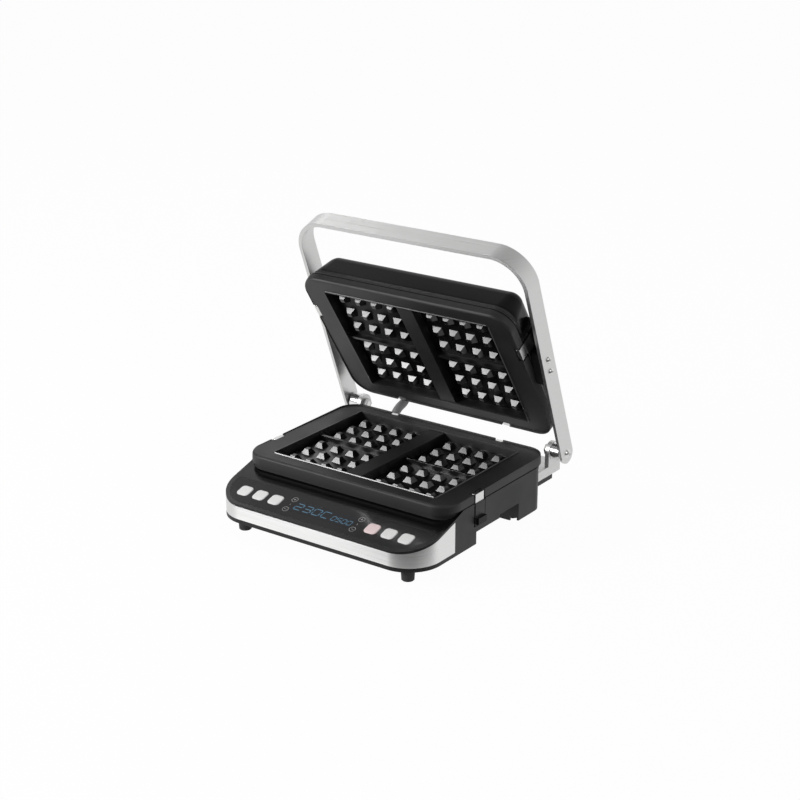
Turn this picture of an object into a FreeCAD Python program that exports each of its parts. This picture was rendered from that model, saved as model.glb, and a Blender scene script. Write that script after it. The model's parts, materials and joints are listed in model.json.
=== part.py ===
# Waffle maker with a floating lid on a U shaped handle, shown open.
# Millimetres, +X to the user's right, front faces -Y, +Z up.
# Every piece is laid out with y counted from the front of the base and with the lid closed.
# Arms and lid are then turned up to the open pose, and the origin goes under the middle of the whole.
import FreeCAD, Part
import math
import os

V = FreeCAD.Vector

# Base housing
base_width = 320.0
base_depth = 280.0
front_corner_radius = 45.0
rear_corner_radius = 22.0
base_wall = 2.6
rim_bottom = 19.5
rear_block_bottom = 16.0
side_wall_top = 74.0
deck_front_height = 45.0
deck_angle = 16.4
deck_skin = 3.0
ramp_start = 77.0
ramp_end = 95.0

# Hand grips in the sides of the base
grip_front = 123.0
grip_rear = 219.0
grip_reach = 30.0
grip_roof = 40.0
grip_lip = 35.5
grip_lip_end = 175.0
grip_wall = 2.4
grip_back_bottom = 13.0
grip_back_inset = 13.0

# Front band
band_thickness = 1.0
band_bottom = 24.7
band_front_top = 41.8
band_end = 77.0
band_clearance = 0.15

# Control panel, measured along the slope of the deck
panel_start = 5.0
panel_length = 44.0
panel_side_margin = 8.0
panel_corner_radius = 37.0
panel_rear_radius = 3.0
panel_thickness = 2.5
panel_ledge = 5.0
panel_clearance = 0.2
button_size = 18.0
button_radius = 5.0
button_pitch = 25.0
button_edge = 27.0
button_row = 26.5
button_rise = 1.0
button_height = 6.0
button_clearance = 0.3
button_travel = 0.8
display_width = 96.0
display_length = 20.0
board_depth = 10.5
board_thickness = 1.6
board_margin = 9.0

# Waffle plates
plate_inset = 0.5
plate_front = 63.0
plate_overhang = 11.0
plate_corner_radius = 28.0
plate_face = 85.4
plate_gap = 4.0
plate_seat = 66.0
plate_step_height = 75.0
plate_skirt_inset = 2.9
plate_wall = 3.0
plate_skin = 3.4
lip_width = 2.6
lip_height = 1.8
rim_side = 34.5
rim_end = 21.6
divider_width = 24.0
rib_width = 8.0
well_depth = 10.5
well_draft = 2.0
stud_columns = 4
stud_rows = 3
stud_height = 8.0
stud_top = 5.2
stud_base = 14.0
stud_pitch = 25.2
stud_row_pitch = 27.9

# Plate support and heating in each half
shelf_thickness = 4.0
shelf_width = 12.0
tray_wall = 0.8
tray_depth = 12.0
tray_gap = 1.0
tray_flange = 8.0
element_diameter = 6.6
element_gap = 0.3
element_side = 30.0
element_end = 26.0

# Plate latches and rear hooks
latch_ahead = 40.3
latch_width = 18.0
latch_slot = 24.0
latch_axis_inset = 5.0
latch_axis_height = 59.0
trunnion_radius = 1.5
trunnion_clearance = 0.06
clip_thickness = 1.2
hook_reach = 4.0
hook_clearance = 0.35
notch_floor = 83.4
notch_depth = 2.2
pad_bottom = 44.0
pad_thickness = 4.4
pad_stand = 0.6
pad_apron_top = 73.2
knob_stand = 4.6
knob_bottom = 46.0
knob_top = 54.5
knob_inset = 1.5
hook_spacing = 168.0
hook_width = 10.0
hook_clearance_rear = 0.3

# Lid shell, heights above the closed upper plate face
lid_edge = 11.5
lid_crease = 20.0
lid_shoulder = 47.0
lid_shoulder_inset = 7.5
lid_crown = 54.0
lid_crown_inset = 11.0
lid_height = 58.0
lid_back_inset = 18.0
lid_wall = 2.5
pod_margin = 20.0

# Handle and hinges
arm_gap = 9.6
bar_thickness = 5.5
bar_width = 26.6
handle_reach = 307.7
handle_corner_radius = 48.0
hinge_behind = 29.8
hinge_z = 81.0
lid_open_angle = 56.45
lug_thickness = 6.0
lug_radius = 12.5
barrel_radius = 11.5
hinge_pin_radius = 4.0
running_clearance = 0.06
side_clearance = 0.3
pin_head_radius = 6.5
pin_head_height = 3.6
lock_nut_width = 13.0
lock_nut_height = 5.0
bracket_behind = 46.0
bracket_ahead = 12.0
bracket_thickness = 12.5
bracket_bottom = 49.5
seat_behind = 27.0
seat_depth = 6.0
pivot_reach = 143.0
pivot_height = 22.9
pivot_pin_radius = 3.2
pivot_pin_length = 7.5
pivot_block_length = 50.0
pivot_block_width = 27.0
pivot_block_radius = 6.0
arm_screw_spacing = 18.0
arm_screw_radius = 2.2
arm_screw_head = 5.0
arm_screw_head_height = 3.0
arm_screw_depth = 6.0

# Boards and their parts
power_board_width = 136.0
power_board_depth = 82.0
power_board_front = 130.0
board_post_inset = 6.0
board_post_radius = 4.0
board_post_height = 4.0
relay_width = 19.0
relay_depth = 16.0
relay_height = 15.5
relay_pitch = 30.0
terminal_width = 30.0
terminal_depth = 14.0
terminal_height = 12.0
terminal_offset = 35.0
switch_size = 6.0
switch_height = 3.2
panel_post_radius = 2.5
element_clip_size = 10.0
element_bend = 12.0
element_tail = 8.0
sensor_radius = 5.0
sensor_height = 6.0
fuse_radius = 3.0
fuse_length = 40.0
fuse_inset = 40.0

# Feet, bottom cover and leads
foot_top_radius = 10.0
foot_bottom_radius = 8.0
foot_side_inset = 33.0
front_foot = 26.0
rear_foot_inset = 22.0
cover_bottom = 21.0
cover_thickness = 2.4
cover_clearance = 0.4
screw_radius = 1.8
screw_head_radius = 3.4
screw_head_height = 2.2
cover_screw_x = 60.0
cover_screw_inset = 10.0
tray_screw_inset = 14.0
conduit_diameter = 12.0
conduit_behind = 20.0
conduit_margin = 1.0
bracket_margin = 5.0
gland_radius = 8.5
gland_height = 8.0
gland_sink = 2.0
conduit_entry_height = 30.0
conduit_bend = 20.0
conduit_rise = 20.5
conduit_lead = 32.0
inlet_x = 60.0
inlet_z = 38.0
inlet_radius = 9.0

# Worked out from the sizes above
half = base_width / 2
plate_half = half - plate_inset
plate_rear = base_depth + plate_overhang
skirt_half = plate_half - plate_skirt_inset
lid_face = plate_face + plate_gap
mid_height = plate_face + plate_gap / 2
well_half = plate_half - rim_side
well_front = plate_front + rim_end
well_rear = plate_rear - rim_end
shelf_bottom = plate_seat - shelf_thickness
shelf_half = skirt_half - shelf_width
shelf_front = plate_front + plate_skirt_inset + shelf_width
shelf_rear = base_depth - shelf_width
arm_outer = half + arm_gap + bar_thickness
arm_inner = half + arm_gap
hinge_y = base_depth + hinge_behind
bracket_rear = base_depth + bracket_behind
seat_rear = base_depth + seat_behind
conduit_x = -(hook_spacing + hook_width) / 2 - conduit_margin - gland_radius
conduit_exit = base_depth + conduit_behind
bracket_inner = gland_radius + bracket_margin - conduit_x
rear_foot = base_depth - rear_foot_inset
pivot_z = lid_face + pivot_height
arm_closed_angle = math.degrees(math.asin((pivot_z - hinge_z) / pivot_reach))
arm_rest_angle = arm_closed_angle + lid_open_angle
lug_outer = half - latch_axis_inset
lug_inner = lug_outer - lug_thickness
bracket_top = bracket_bottom + bracket_thickness
pivot_y = hinge_y - pivot_reach * math.cos(math.radians(arm_closed_angle))
latch_centre = pivot_y - latch_ahead
pod_front = latch_centre - pod_margin
pod_rear = pivot_y + pod_margin
deck_slope = math.tan(math.radians(deck_angle))
tray_bottom = shelf_bottom - tray_depth
element_height = plate_face - well_depth - plate_skin - element_gap - element_diameter / 2
latch_axis_x = half - latch_axis_inset
cover_top = cover_bottom + cover_thickness
panel_half = half - panel_side_margin
board_top = -board_depth
board_floor = cover_top + board_post_height
power_board_top = board_floor + board_thickness
gland_top = bracket_bottom + gland_height


def box(x0, x1, y0, y1, z0, z1):
    return Part.makeBox(x1 - x0, y1 - y0, z1 - z0, V(x0, y0, z0))


def rod_x(x0, x1, y, z, radius):
    return Part.makeCylinder(radius, x1 - x0, V(x0, y, z), V(1, 0, 0))


def rod_y(x, y0, y1, z, radius):
    return Part.makeCylinder(radius, y1 - y0, V(x, y0, z), V(0, 1, 0))


def rod_z(x, y, z0, z1, radius):
    return Part.makeCylinder(radius, z1 - z0, V(x, y, z0), V(0, 0, 1))


def rounded_wire(corners):
    """A flat closed wire through (point, radius) corners, with a tangent arc at each rounded corner."""
    edges = []
    ends = []
    count = len(corners)
    for i in range(count):
        point, radius = corners[i]
        before = corners[i - 1][0] - point
        after = corners[(i + 1) % count][0] - point
        before.normalize()
        after.normalize()
        if radius == 0:
            ends.append((point, None, point))
            continue
        half_turn = before.getAngle(after) / 2
        setback = radius / math.tan(half_turn)
        middle = before + after
        middle.normalize()
        centre = point + middle * (radius / math.sin(half_turn))
        ends.append((point + before * setback, centre - middle * radius, point + after * setback))
    for i in range(count):
        start, through, end = ends[i]
        if through is not None:
            edges.append(Part.Arc(start, through, end).toShape())
        following = ends[(i + 1) % count][0]
        if end.distanceToPoint(following) > 1e-6:
            edges.append(Part.LineSegment(end, following).toShape())
    return Part.Wire(edges)


def plan_wire(side, front, rear, front_radius, rear_radius, z):
    """A rounded rectangle seen from above, mirrored about the middle of the width."""
    return rounded_wire([
        (V(-side, front, z), front_radius),
        (V(side, front, z), front_radius),
        (V(side, rear, z), rear_radius),
        (V(-side, rear, z), rear_radius),
    ])


def prism(wire, height):
    return Part.Face(wire).extrude(V(0, 0, height))


def plan_block(side, front, rear, front_radius, rear_radius, z0, z1):
    return prism(plan_wire(side, front, rear, front_radius, rear_radius, z0), z1 - z0)


def plate_block(inset, z0, z1):
    """A block with the outline of the waffle plate, drawn in by inset."""
    radius = plate_corner_radius - inset
    return plan_block(plate_half - inset, plate_front + inset, plate_rear - inset, radius, radius, z0, z1)


def base_block(inset, z0, z1):
    """A block with the outline of the base, drawn in by inset."""
    front_radius = front_corner_radius - inset
    rear_radius = rear_corner_radius - inset
    return plan_block(half - inset, inset, base_depth - inset, front_radius, rear_radius, z0, z1)


def side_profile(points, x0, x1):
    """A bar across the width with a polygon profile of (y, z) points."""
    corners = [V(x0, y, z) for y, z in points]
    return Part.Face(Part.makePolygon(corners + corners[:1])).extrude(V(x1 - x0, 0, 0))


def union(first, others):
    return first.multiFuse(others).removeSplitter()


def mirror_x(shape):
    return shape.mirror(V(0, 0, 0), V(1, 0, 0))


def both_sides(shape):
    return [shape, mirror_x(shape)]


def mirror_up(shape):
    """The same piece in the lid, mirrored about the plane where the closed plates meet."""
    return shape.mirror(V(0, 0, mid_height), V(0, 0, 1))


def turn_up(shape, angle):
    turned = shape.copy()
    turned.rotate(V(0, hinge_y, hinge_z), V(-1, 0, 0), angle)
    return turned


def open_lid(shape):
    return turn_up(shape, lid_open_angle)


def raise_arm(shape):
    return turn_up(shape, arm_rest_angle)


def on_deck(shape):
    """From deck coordinates (x, along the slope, out of the deck) to the base."""
    placed = shape.copy()
    placed.rotate(V(0, 0, 0), V(1, 0, 0), deck_angle)
    placed.translate(V(0, 0, deck_front_height))
    return placed


def save(name, solids):
    moved = [s.translated(V(0, -origin_y, 0)) for s in solids]
    shape = moved[0] if len(moved) == 1 else Part.makeCompound(moved)
    shape.exportStep(os.path.join("parts", name + ".step"))


def deck_height(y):
    return deck_front_height + deck_slope * y


def above_deck(drop):
    """Everything over the deck and its side ramps, lowered by drop."""
    over = side_wall_top + base_depth
    reach = base_depth
    return side_profile([
        (-reach, deck_height(-reach) - drop),
        (ramp_start, deck_height(ramp_start) - drop),
        (ramp_end, side_wall_top - drop),
        (ramp_end, over),
        (-reach, over),
    ], -base_width, base_width)


def band_zone(clearance):
    """The strip of outer wall that the front band takes up."""
    top = band_front_top + clearance
    ring = base_block(0, band_bottom - clearance, side_wall_top + 1)
    ring = ring.cut(base_block(band_thickness + clearance, 0, side_wall_top + 2))
    end = band_end + clearance
    below = side_profile([
        (-1, 0),
        (end, 0),
        (end, top + deck_slope * end),
        (-1, top - deck_slope),
    ], -base_width, base_width)
    return ring.common(below)


def panel_outline(grow, n):
    radius = panel_corner_radius + grow
    start = panel_start - grow
    end = panel_start + panel_length + grow
    rear_radius = max(panel_rear_radius + grow, 0)
    return plan_wire(panel_half + grow, start, end, radius, rear_radius, n)


def button_places():
    outer = panel_half - button_edge
    return [side * (outer - button_pitch * i) for side in (-1, 1) for i in range(3)]


def button_block(x, grow, n0, n1):
    reach = button_size / 2 + grow
    corners = [(-1, -1), (1, -1), (1, 1), (-1, 1)]
    wire = rounded_wire([
        (V(x + reach * i, button_row + reach * j, n0), button_radius + grow) for i, j in corners
    ])
    return prism(wire, n1 - n0)


def display_block(grow, n0, n1):
    reach = display_width / 2 + grow
    depth = display_length / 2 + grow
    return box(-reach, reach, button_row - depth, button_row + depth, n0, n1)


def latch_window(x0, x1, z0, z1):
    reach = latch_slot / 2
    return box(x0, x1, latch_centre - reach, latch_centre + reach, z0, z1)


def trunnion_lugs(top):
    """Two ears under the plate shelf that carry the rocker's trunnions."""
    ears = []
    for side in (-1, 1):
        near = latch_centre + side * latch_slot / 2
        far = near + side * 4
        ear = box(latch_axis_x - 4, half - 1, min(near, far), max(near, far), latch_axis_height - 4, top)
        ears.append(ear)
    return ears


def trunnion_bore():
    reach = latch_slot / 2 + 5
    radius = trunnion_radius + trunnion_clearance
    return rod_y(latch_axis_x, latch_centre - reach, latch_centre + reach, latch_axis_height, radius)


def make_base_housing():
    shell = base_block(0, rear_block_bottom, side_wall_top)
    shell = shell.cut(above_deck(0))
    front_of_grip = box(-base_width, base_width, -1, grip_rear, 0, rim_bottom)
    plate_room = plate_block(plate_skirt_inset - plate_inset - 0.1, plate_seat, side_wall_top + 1)
    hollow = base_block(base_wall, 0, shelf_bottom).cut(above_deck(deck_skin))
    shell = shell.cut(front_of_grip).cut(plate_room).cut(hollow)
    well = box(-shelf_half, shelf_half, shelf_front, shelf_rear, shelf_bottom - 1, plate_seat + 1)
    shell = shell.cut(well)
    grip_inner = half - grip_reach
    for side in (-1, 1):
        mirrored = mirror_x if side < 0 else (lambda shape: shape)
        pocket = box(grip_inner - grip_wall, half - base_wall / 2, grip_front - grip_wall,
                     grip_rear + grip_wall, rim_bottom, grip_roof + grip_wall)
        back = box(grip_inner - grip_wall, half - grip_back_inset, grip_rear, grip_rear + grip_wall,
                   grip_back_bottom, rim_bottom + grip_wall)
        void = box(grip_inner, half - base_wall, grip_front, grip_rear, 0, grip_roof)
        low_edge = box(half - base_wall - 1, half + 1, grip_front, grip_rear, 0, grip_lip)
        high_edge = box(half - base_wall - 1, half + 1, grip_lip_end, grip_rear, 0, grip_roof)
        seat = box(bracket_inner, lug_outer, shelf_rear + 1, seat_rear,
                   bracket_bottom - seat_depth, bracket_bottom)
        shell = union(shell, [mirrored(s) for s in [pocket, back, seat] + trunnion_lugs(shelf_bottom + 1)])
        window = latch_window(latch_axis_x - 4, half + 1, pad_bottom - 1, side_wall_top + 1)
        for cut in (void, low_edge, high_edge, window, trunnion_bore()):
            shell = shell.cut(mirrored(cut))
    conduit_seat = box(conduit_x - gland_radius - 2, conduit_x + gland_radius + 2, base_depth - base_wall,
                       seat_rear + 2, bracket_bottom - seat_depth, bracket_bottom)
    shell = union(shell, [conduit_seat])
    lead_hole = rod_z(conduit_x, conduit_exit, bracket_bottom - seat_depth - 1, bracket_bottom + 1,
                      conduit_diameter / 2 + 0.3)
    inlet_hole = rod_y(inlet_x, base_depth - base_wall - 1, base_depth + 1, inlet_z, inlet_radius)
    recess = on_deck(prism(panel_outline(panel_clearance, -panel_thickness), panel_thickness + 5))
    opening = on_deck(prism(panel_outline(-panel_ledge, -20), 30))
    for cut in (lead_hole, inlet_hole, band_zone(band_clearance), recess, opening):
        shell = shell.cut(cut)
    return shell


def make_bottom_cover():
    inset = base_wall + cover_clearance
    cover = base_block(inset, cover_bottom, cover_top)
    grip_inner = half - grip_reach - grip_wall - cover_clearance
    front = grip_front - grip_wall - cover_clearance
    rear = grip_rear + grip_wall + cover_clearance
    for side in (-1, 1):
        x0, x1 = sorted((side * grip_inner, side * base_width))
        cover = cover.cut(box(x0, x1, front, rear, 0, base_depth))
    bosses = [rod_z(x, y, cover_top, board_floor, board_post_radius) for x, y in power_board_posts()]
    cover = union(cover, bosses)
    for x, y in foot_places():
        cover = cover.cut(rod_z(x, y, cover_bottom - 1, cover_bottom + 1.2, foot_top_radius + 0.2))
    for x, y in cover_screw_places():
        cover = cover.cut(rod_z(x, y, cover_bottom - 1, cover_top + 1, screw_radius))
    return cover


def foot_places():
    return [(side * (half - foot_side_inset), y) for y in (front_foot, rear_foot) for side in (-1, 1)]


def cover_screw_places():
    rows = (front_foot + cover_screw_inset, rear_foot - cover_screw_inset)
    return [(side * cover_screw_x, y) for y in rows for side in (-1, 1)]


def power_board_posts():
    x = power_board_width / 2 - board_post_inset
    rows = (power_board_front + board_post_inset, power_board_front + power_board_depth - board_post_inset)
    return [(side * x, y) for y in rows for side in (-1, 1)]


def make_foot(x, y):
    top = cover_bottom + 1.2
    return Part.makeCone(foot_bottom_radius, foot_top_radius, top, V(x, y, 0), V(0, 0, 1))


def make_cover_screw(x, y):
    head = rod_z(x, y, cover_bottom - screw_head_height, cover_bottom, screw_head_radius)
    return head.fuse(rod_z(x, y, cover_bottom, cover_top, screw_radius))


def make_control_panel():
    panel = prism(panel_outline(0, -panel_thickness), panel_thickness)
    panel = panel.cut(display_block(panel_clearance, -panel_thickness - 1, 1))
    for x in button_places():
        panel = panel.cut(button_block(x, button_clearance, -panel_thickness - 1, 1))
    posts = [rod_z(x, y, board_top, -panel_thickness, panel_post_radius) for x, y in panel_posts()]
    return on_deck(union(panel, posts))


def panel_posts():
    inset = board_margin + panel_post_radius
    ends = (panel_start + inset, panel_start + panel_length - inset)
    first = min(abs(x) for x in button_places())
    inner = (display_width / 2 + first - button_size / 2) / 2
    return [(side * inner, y) for y in ends for side in (-1, 1)]


def make_control_board():
    reach = panel_half - panel_corner_radius / 2
    front = panel_start + board_margin
    rear = panel_start + panel_length - board_margin
    return on_deck(box(-reach, reach, front, rear, board_top - board_thickness, board_top))


def make_display_window():
    return on_deck(display_block(0, -panel_thickness, 0))


def make_display_module():
    return on_deck(display_block(-2.0, board_top, -panel_thickness - 0.3))


def make_button(x):
    cap = button_block(x, 0, button_rise - button_height, button_rise)
    foot = board_top + switch_height + button_travel + 0.1
    return on_deck(cap.fuse(key_block(x, foot, button_rise - button_height)))


def key_block(x, n0, n1):
    """A square post under a button."""
    reach = switch_size / 2
    return box(x - reach, x + reach, button_row - reach, button_row + reach, n0, n1)


def make_switch(x):
    return on_deck(key_block(x, board_top, board_top + switch_height))


def make_power_board():
    side = power_board_width / 2
    rear = power_board_front + power_board_depth
    return box(-side, side, power_board_front, rear, board_floor, power_board_top)


def make_relay(x):
    y = power_board_front + power_board_depth / 2
    wide, deep = relay_width / 2, relay_depth / 2
    return box(x - wide, x + wide, y - deep, y + deep, power_board_top, power_board_top + relay_height)


def make_terminal_block():
    rear = power_board_front + power_board_depth - board_post_inset
    wide = terminal_width / 2
    return box(terminal_offset - wide, terminal_offset + wide, rear - terminal_depth, rear,
               power_board_top, power_board_top + terminal_height)


def make_inlet():
    """Bushing in the rear wall where a mains lead would enter."""
    rear = base_depth
    body = rod_y(inlet_x, rear - base_wall, rear, inlet_z, inlet_radius)
    flange = rod_y(inlet_x, rear, rear + 3, inlet_z, inlet_radius + 2.5)
    nut = rod_y(inlet_x, rear - base_wall - 4, rear - base_wall, inlet_z, inlet_radius + 2)
    bore = rod_y(inlet_x, rear - base_depth / 2, rear + base_depth, inlet_z, inlet_radius - 4.5)
    return union(body, [flange, nut]).cut(bore)


def rectangle(x0, x1, y0, y1, z):
    corners = [V(x0, y0, z), V(x1, y0, z), V(x1, y1, z), V(x0, y1, z)]
    return Part.makePolygon(corners + corners[:1])


def tapered_block(x0, x1, y0, y1, z0, z1, draw_in):
    """A block that grows by draw_in on every side from z0 up to z1."""
    low = rectangle(x0 + draw_in, x1 - draw_in, y0 + draw_in, y1 - draw_in, z0)
    return Part.makeLoft([low, rectangle(x0, x1, y0, y1, z1)], True, True)


def make_lower_plate():
    plate = plate_block(0, plate_step_height, plate_face + lip_height)
    skirt = plate_block(plate_skirt_inset, plate_seat, plate_step_height)
    plate = plate.fuse(skirt)
    plate = plate.cut(plate_block(lip_width, plate_face, plate_face + lip_height + 1))
    under = plate_face - well_depth - plate_skin
    inner = plate_skirt_inset + plate_wall
    plate = plate.cut(plate_block(inner, plate_seat - 1, under))
    rim_room = plate_block(inner, under - 1, plate_face - plate_skin)
    pan = box(-well_half - plate_wall, well_half + plate_wall, well_front - plate_wall,
              well_rear + plate_wall, 0, plate_face)
    latch_block = latch_window(skirt_half - 8, base_width, 0, plate_face)
    plate = plate.cut(rim_room.cut(pan).cut(latch_block).cut(mirror_x(latch_block)))
    floor = plate_face - well_depth
    middle = (well_front + well_rear) / 2
    studs = []
    for x0, x1 in ((-well_half, -divider_width / 2), (divider_width / 2, well_half)):
        for y0, y1 in ((well_front, middle - rib_width / 2), (middle + rib_width / 2, well_rear)):
            plate = plate.cut(tapered_block(x0, x1, y0, y1, floor, plate_face, well_draft))
            for i in range(stud_columns):
                for j in range(stud_rows):
                    x = (x0 + x1) / 2 + (i - (stud_columns - 1) / 2) * stud_pitch
                    y = (y0 + y1) / 2 + (j - (stud_rows - 1) / 2) * stud_row_pitch
                    studs.append(make_stud(x, y, floor))
    plate = plate.multiFuse(studs)
    for side in (-1, 1):
        mirrored = mirror_x if side < 0 else (lambda shape: shape)
        slot = latch_window(plate_half - notch_depth, base_width, 0, plate_face + 10)
        ledge = latch_window(plate_half - notch_depth - hook_reach - 1, base_width, notch_floor,
                             plate_face + 10)
        plate = plate.cut(mirrored(slot)).cut(mirrored(ledge))
        plate = plate.cut(rear_notch(side * hook_spacing / 2))
    return plate


def make_stud(x, y, floor):
    low, high = stud_base / 2, stud_top / 2
    foot = rectangle(x - low, x + low, y - low, y + low, floor - 0.5)
    top = rectangle(x - high, x + high, y - high, y + high, floor + stud_height)
    return Part.makeLoft([foot, top], True, True)


def rear_notch(x):
    reach = hook_width / 2 + 1
    front = plate_rear - hook_reach - 1
    return box(x - reach, x + reach, front, plate_rear + 1, notch_floor, plate_face + 10)


def make_lower_hook(x):
    """Steel strip from the rear wall that reaches over the notch in the rear rim."""
    reach = hook_width / 2
    near = plate_rear + hook_clearance_rear
    far = near + clip_thickness
    foot = shelf_bottom - 6
    tip = notch_floor + hook_clearance
    wall = box(x - reach, x + reach, base_depth, base_depth + clip_thickness, foot, shelf_bottom + 2)
    arm = box(x - reach, x + reach, base_depth, far, foot, foot + clip_thickness)
    upright = box(x - reach, x + reach, near, far, foot, tip + clip_thickness)
    over = box(x - reach, x + reach, plate_rear - hook_reach, far, tip, tip + clip_thickness)
    return union(wall, [arm, upright, over])


def make_upper_hook(x):
    """The same reach over the notch, on a strip that lies on the rear of the lid."""
    reach = hook_width / 2
    near = plate_rear + hook_clearance_rear
    far = near + clip_thickness
    tip = mid_height + (mid_height - notch_floor - hook_clearance)
    strip = box(x - reach, x + reach, near, far, tip - clip_thickness, lid_face + lid_crease)
    wall = box(x - reach, x + reach, plate_rear, far, lid_face + lid_edge + 1, lid_face + lid_crease)
    over = box(x - reach, x + reach, plate_rear - hook_reach, far, tip - clip_thickness, tip)
    return union(strip, [wall, over])


def make_tray():
    """Reflector tray that hangs from the shelf under the element."""
    side = shelf_half - tray_gap
    front = shelf_front + tray_gap
    rear = shelf_rear - tray_gap
    pan = box(-side, side, front, rear, tray_bottom, shelf_bottom)
    pan = pan.cut(box(-side + tray_wall, side - tray_wall, front + tray_wall, rear - tray_wall,
                      tray_bottom + tray_wall, shelf_bottom + 1))
    flange = box(-side - tray_flange, side + tray_flange, front, rear, shelf_bottom - tray_wall,
                 shelf_bottom)
    flange = flange.cut(box(-side, side, front - 1, rear + 1, tray_bottom, shelf_bottom + 1))
    tray = pan.fuse(flange)
    for cut in [latch_room(1), latch_room(-1)]:
        tray = tray.cut(cut)
    for x, y in tray_screw_places():
        tray = tray.cut(rod_z(x, y, tray_bottom, shelf_bottom + 1, screw_radius))
    for x in element_leads():
        tray = tray.cut(rod_z(x, well_rear - element_end, tray_bottom - 1, shelf_bottom, element_diameter))
    return tray


def latch_room(side):
    room = box(latch_axis_x - 9, base_width, latch_centre - latch_slot / 2 - 6,
               latch_centre + latch_slot / 2 + 6, 0, side_wall_top)
    return room if side > 0 else mirror_x(room)


def tray_screw_places():
    x = shelf_half - tray_gap + tray_flange / 2
    rows = (shelf_front + tray_screw_inset, shelf_rear - tray_screw_inset)
    return [(side * x, y) for y in rows for side in (-1, 1)]


def make_tray_screw(x, y):
    under = shelf_bottom - tray_wall
    head = rod_z(x, y, under - screw_head_height, under, screw_head_radius)
    return head.fuse(rod_z(x, y, under, shelf_bottom, screw_radius))


def element_leads():
    outer = well_half - element_side
    return (-outer / 3, outer / 3)


def make_element():
    """Tubular heater: two long loops under the plate, with both ends turned down to the tray."""
    outer = well_half - element_side
    inner = outer / 3
    front = well_front + element_end
    rear = well_rear - element_end
    back = rear + element_bend
    z = element_height
    low = tray_bottom - element_tail
    points = [
        V(-inner, rear, low), V(-inner, rear, z), V(-inner, front, z), V(-outer, front, z),
        V(-outer, back, z), V(outer, back, z), V(outer, front, z), V(inner, front, z),
        V(inner, rear, z), V(inner, rear, low),
    ]
    ring = Part.Wire(Part.makeCircle(element_diameter / 2, points[0], V(0, 0, 1)))
    return open_path(points, element_bend).makePipeShell([ring], True, False)


def open_path(points, radius):
    """Straight runs joined by tangent arcs of one radius."""
    edges = []
    start = points[0]
    for i in range(1, len(points) - 1):
        before = points[i - 1] - points[i]
        after = points[i + 1] - points[i]
        before.normalize()
        after.normalize()
        half_turn = before.getAngle(after) / 2
        setback = radius / math.tan(half_turn)
        middle = before + after
        middle.normalize()
        centre = points[i] + middle * (radius / math.sin(half_turn))
        arc_start = points[i] + before * setback
        arc_end = points[i] + after * setback
        edges.append(Part.LineSegment(start, arc_start).toShape())
        edges.append(Part.Arc(arc_start, centre - middle * radius, arc_end).toShape())
        start = arc_end
    edges.append(Part.LineSegment(start, points[-1]).toShape())
    return Part.Wire(edges)


def element_clip_places():
    outer = well_half - element_side
    middle = (well_front + well_rear) / 2
    return [(x, middle) for x in (-outer, -outer / 3, outer / 3, outer)]


def make_element_clip(x, y):
    """Folded saddle on the tray floor that carries the element."""
    radius = element_diameter / 2
    reach = element_clip_size / 2
    floor = tray_bottom + tray_wall
    inner = reach - clip_thickness
    roof = element_height - radius - clip_thickness
    post = box(x - reach, x + reach, y - reach, y + reach, floor, element_height - radius / 2)
    groove = rod_y(x, y - element_clip_size, y + element_clip_size, element_height, radius)
    room = box(x - inner, x + inner, y - element_clip_size, y + element_clip_size,
               floor + clip_thickness, roof)
    return post.cut(groove).cut(room)


def make_sensor():
    """Temperature sensor on a post in the middle of the tray, against the underside of the plate."""
    y = (well_front + well_rear) / 2
    under = plate_face - well_depth - plate_skin
    shoulder = under - sensor_height
    cup = rod_z(0, y, shoulder, under - element_gap, sensor_radius)
    return cup.fuse(rod_z(0, y, tray_bottom + tray_wall, shoulder, sensor_radius / 2))


def make_thermal_fuse():
    reach = fuse_length / 2
    return rod_x(-reach, reach, well_rear - fuse_inset, tray_bottom - fuse_radius, fuse_radius)


def make_pad():
    """Rocker of a plate latch with its trunnions, an apron over the clip and a knob at its lower end."""
    reach = latch_width / 2 + 1.5
    outer = half + pad_stand
    top = latch_axis_height + 3.5
    pad = box(outer - pad_thickness, outer, latch_centre - reach, latch_centre + reach, pad_bottom,
              latch_axis_height - 2)
    hub = box(latch_axis_x - 3, half - clip_thickness - 0.6, latch_centre - reach, latch_centre + reach,
              latch_axis_height - 5, top)
    apron = box(half - 0.6, outer, latch_centre - reach, latch_centre + reach, latch_axis_height - 2,
                pad_apron_top)
    knob_half = reach - knob_inset
    knob = box(half, half + knob_stand, latch_centre - knob_half, latch_centre + knob_half,
               knob_bottom, knob_top)
    ends = latch_slot / 2 + 3.6
    trunnion = rod_y(latch_axis_x, latch_centre - ends, latch_centre + ends, latch_axis_height,
                     trunnion_radius)
    return union(pad, [hub, trunnion, apron, knob])


def make_clip():
    """Spring steel clip on the rocker that rises past the rim and hooks over the notch of the plate."""
    reach = latch_width / 2
    outer = half - 0.6
    inner = outer - clip_thickness
    tip = notch_floor + hook_clearance
    low = latch_axis_height - 2
    strip = box(inner, outer, latch_centre - reach, latch_centre + reach, low, tip + clip_thickness)
    tip_x = plate_half - notch_depth - hook_reach
    hook = box(tip_x, outer, latch_centre - reach, latch_centre + reach, tip, tip + clip_thickness)
    return strip.fuse(hook).removeSplitter()


def lid_outline(inset, shrink, height):
    radius = plate_corner_radius - inset / 2 - shrink
    edge = inset + shrink
    return plan_wire(plate_half - edge, plate_front + edge, plate_rear - edge, radius, radius,
                     lid_face + height)


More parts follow.
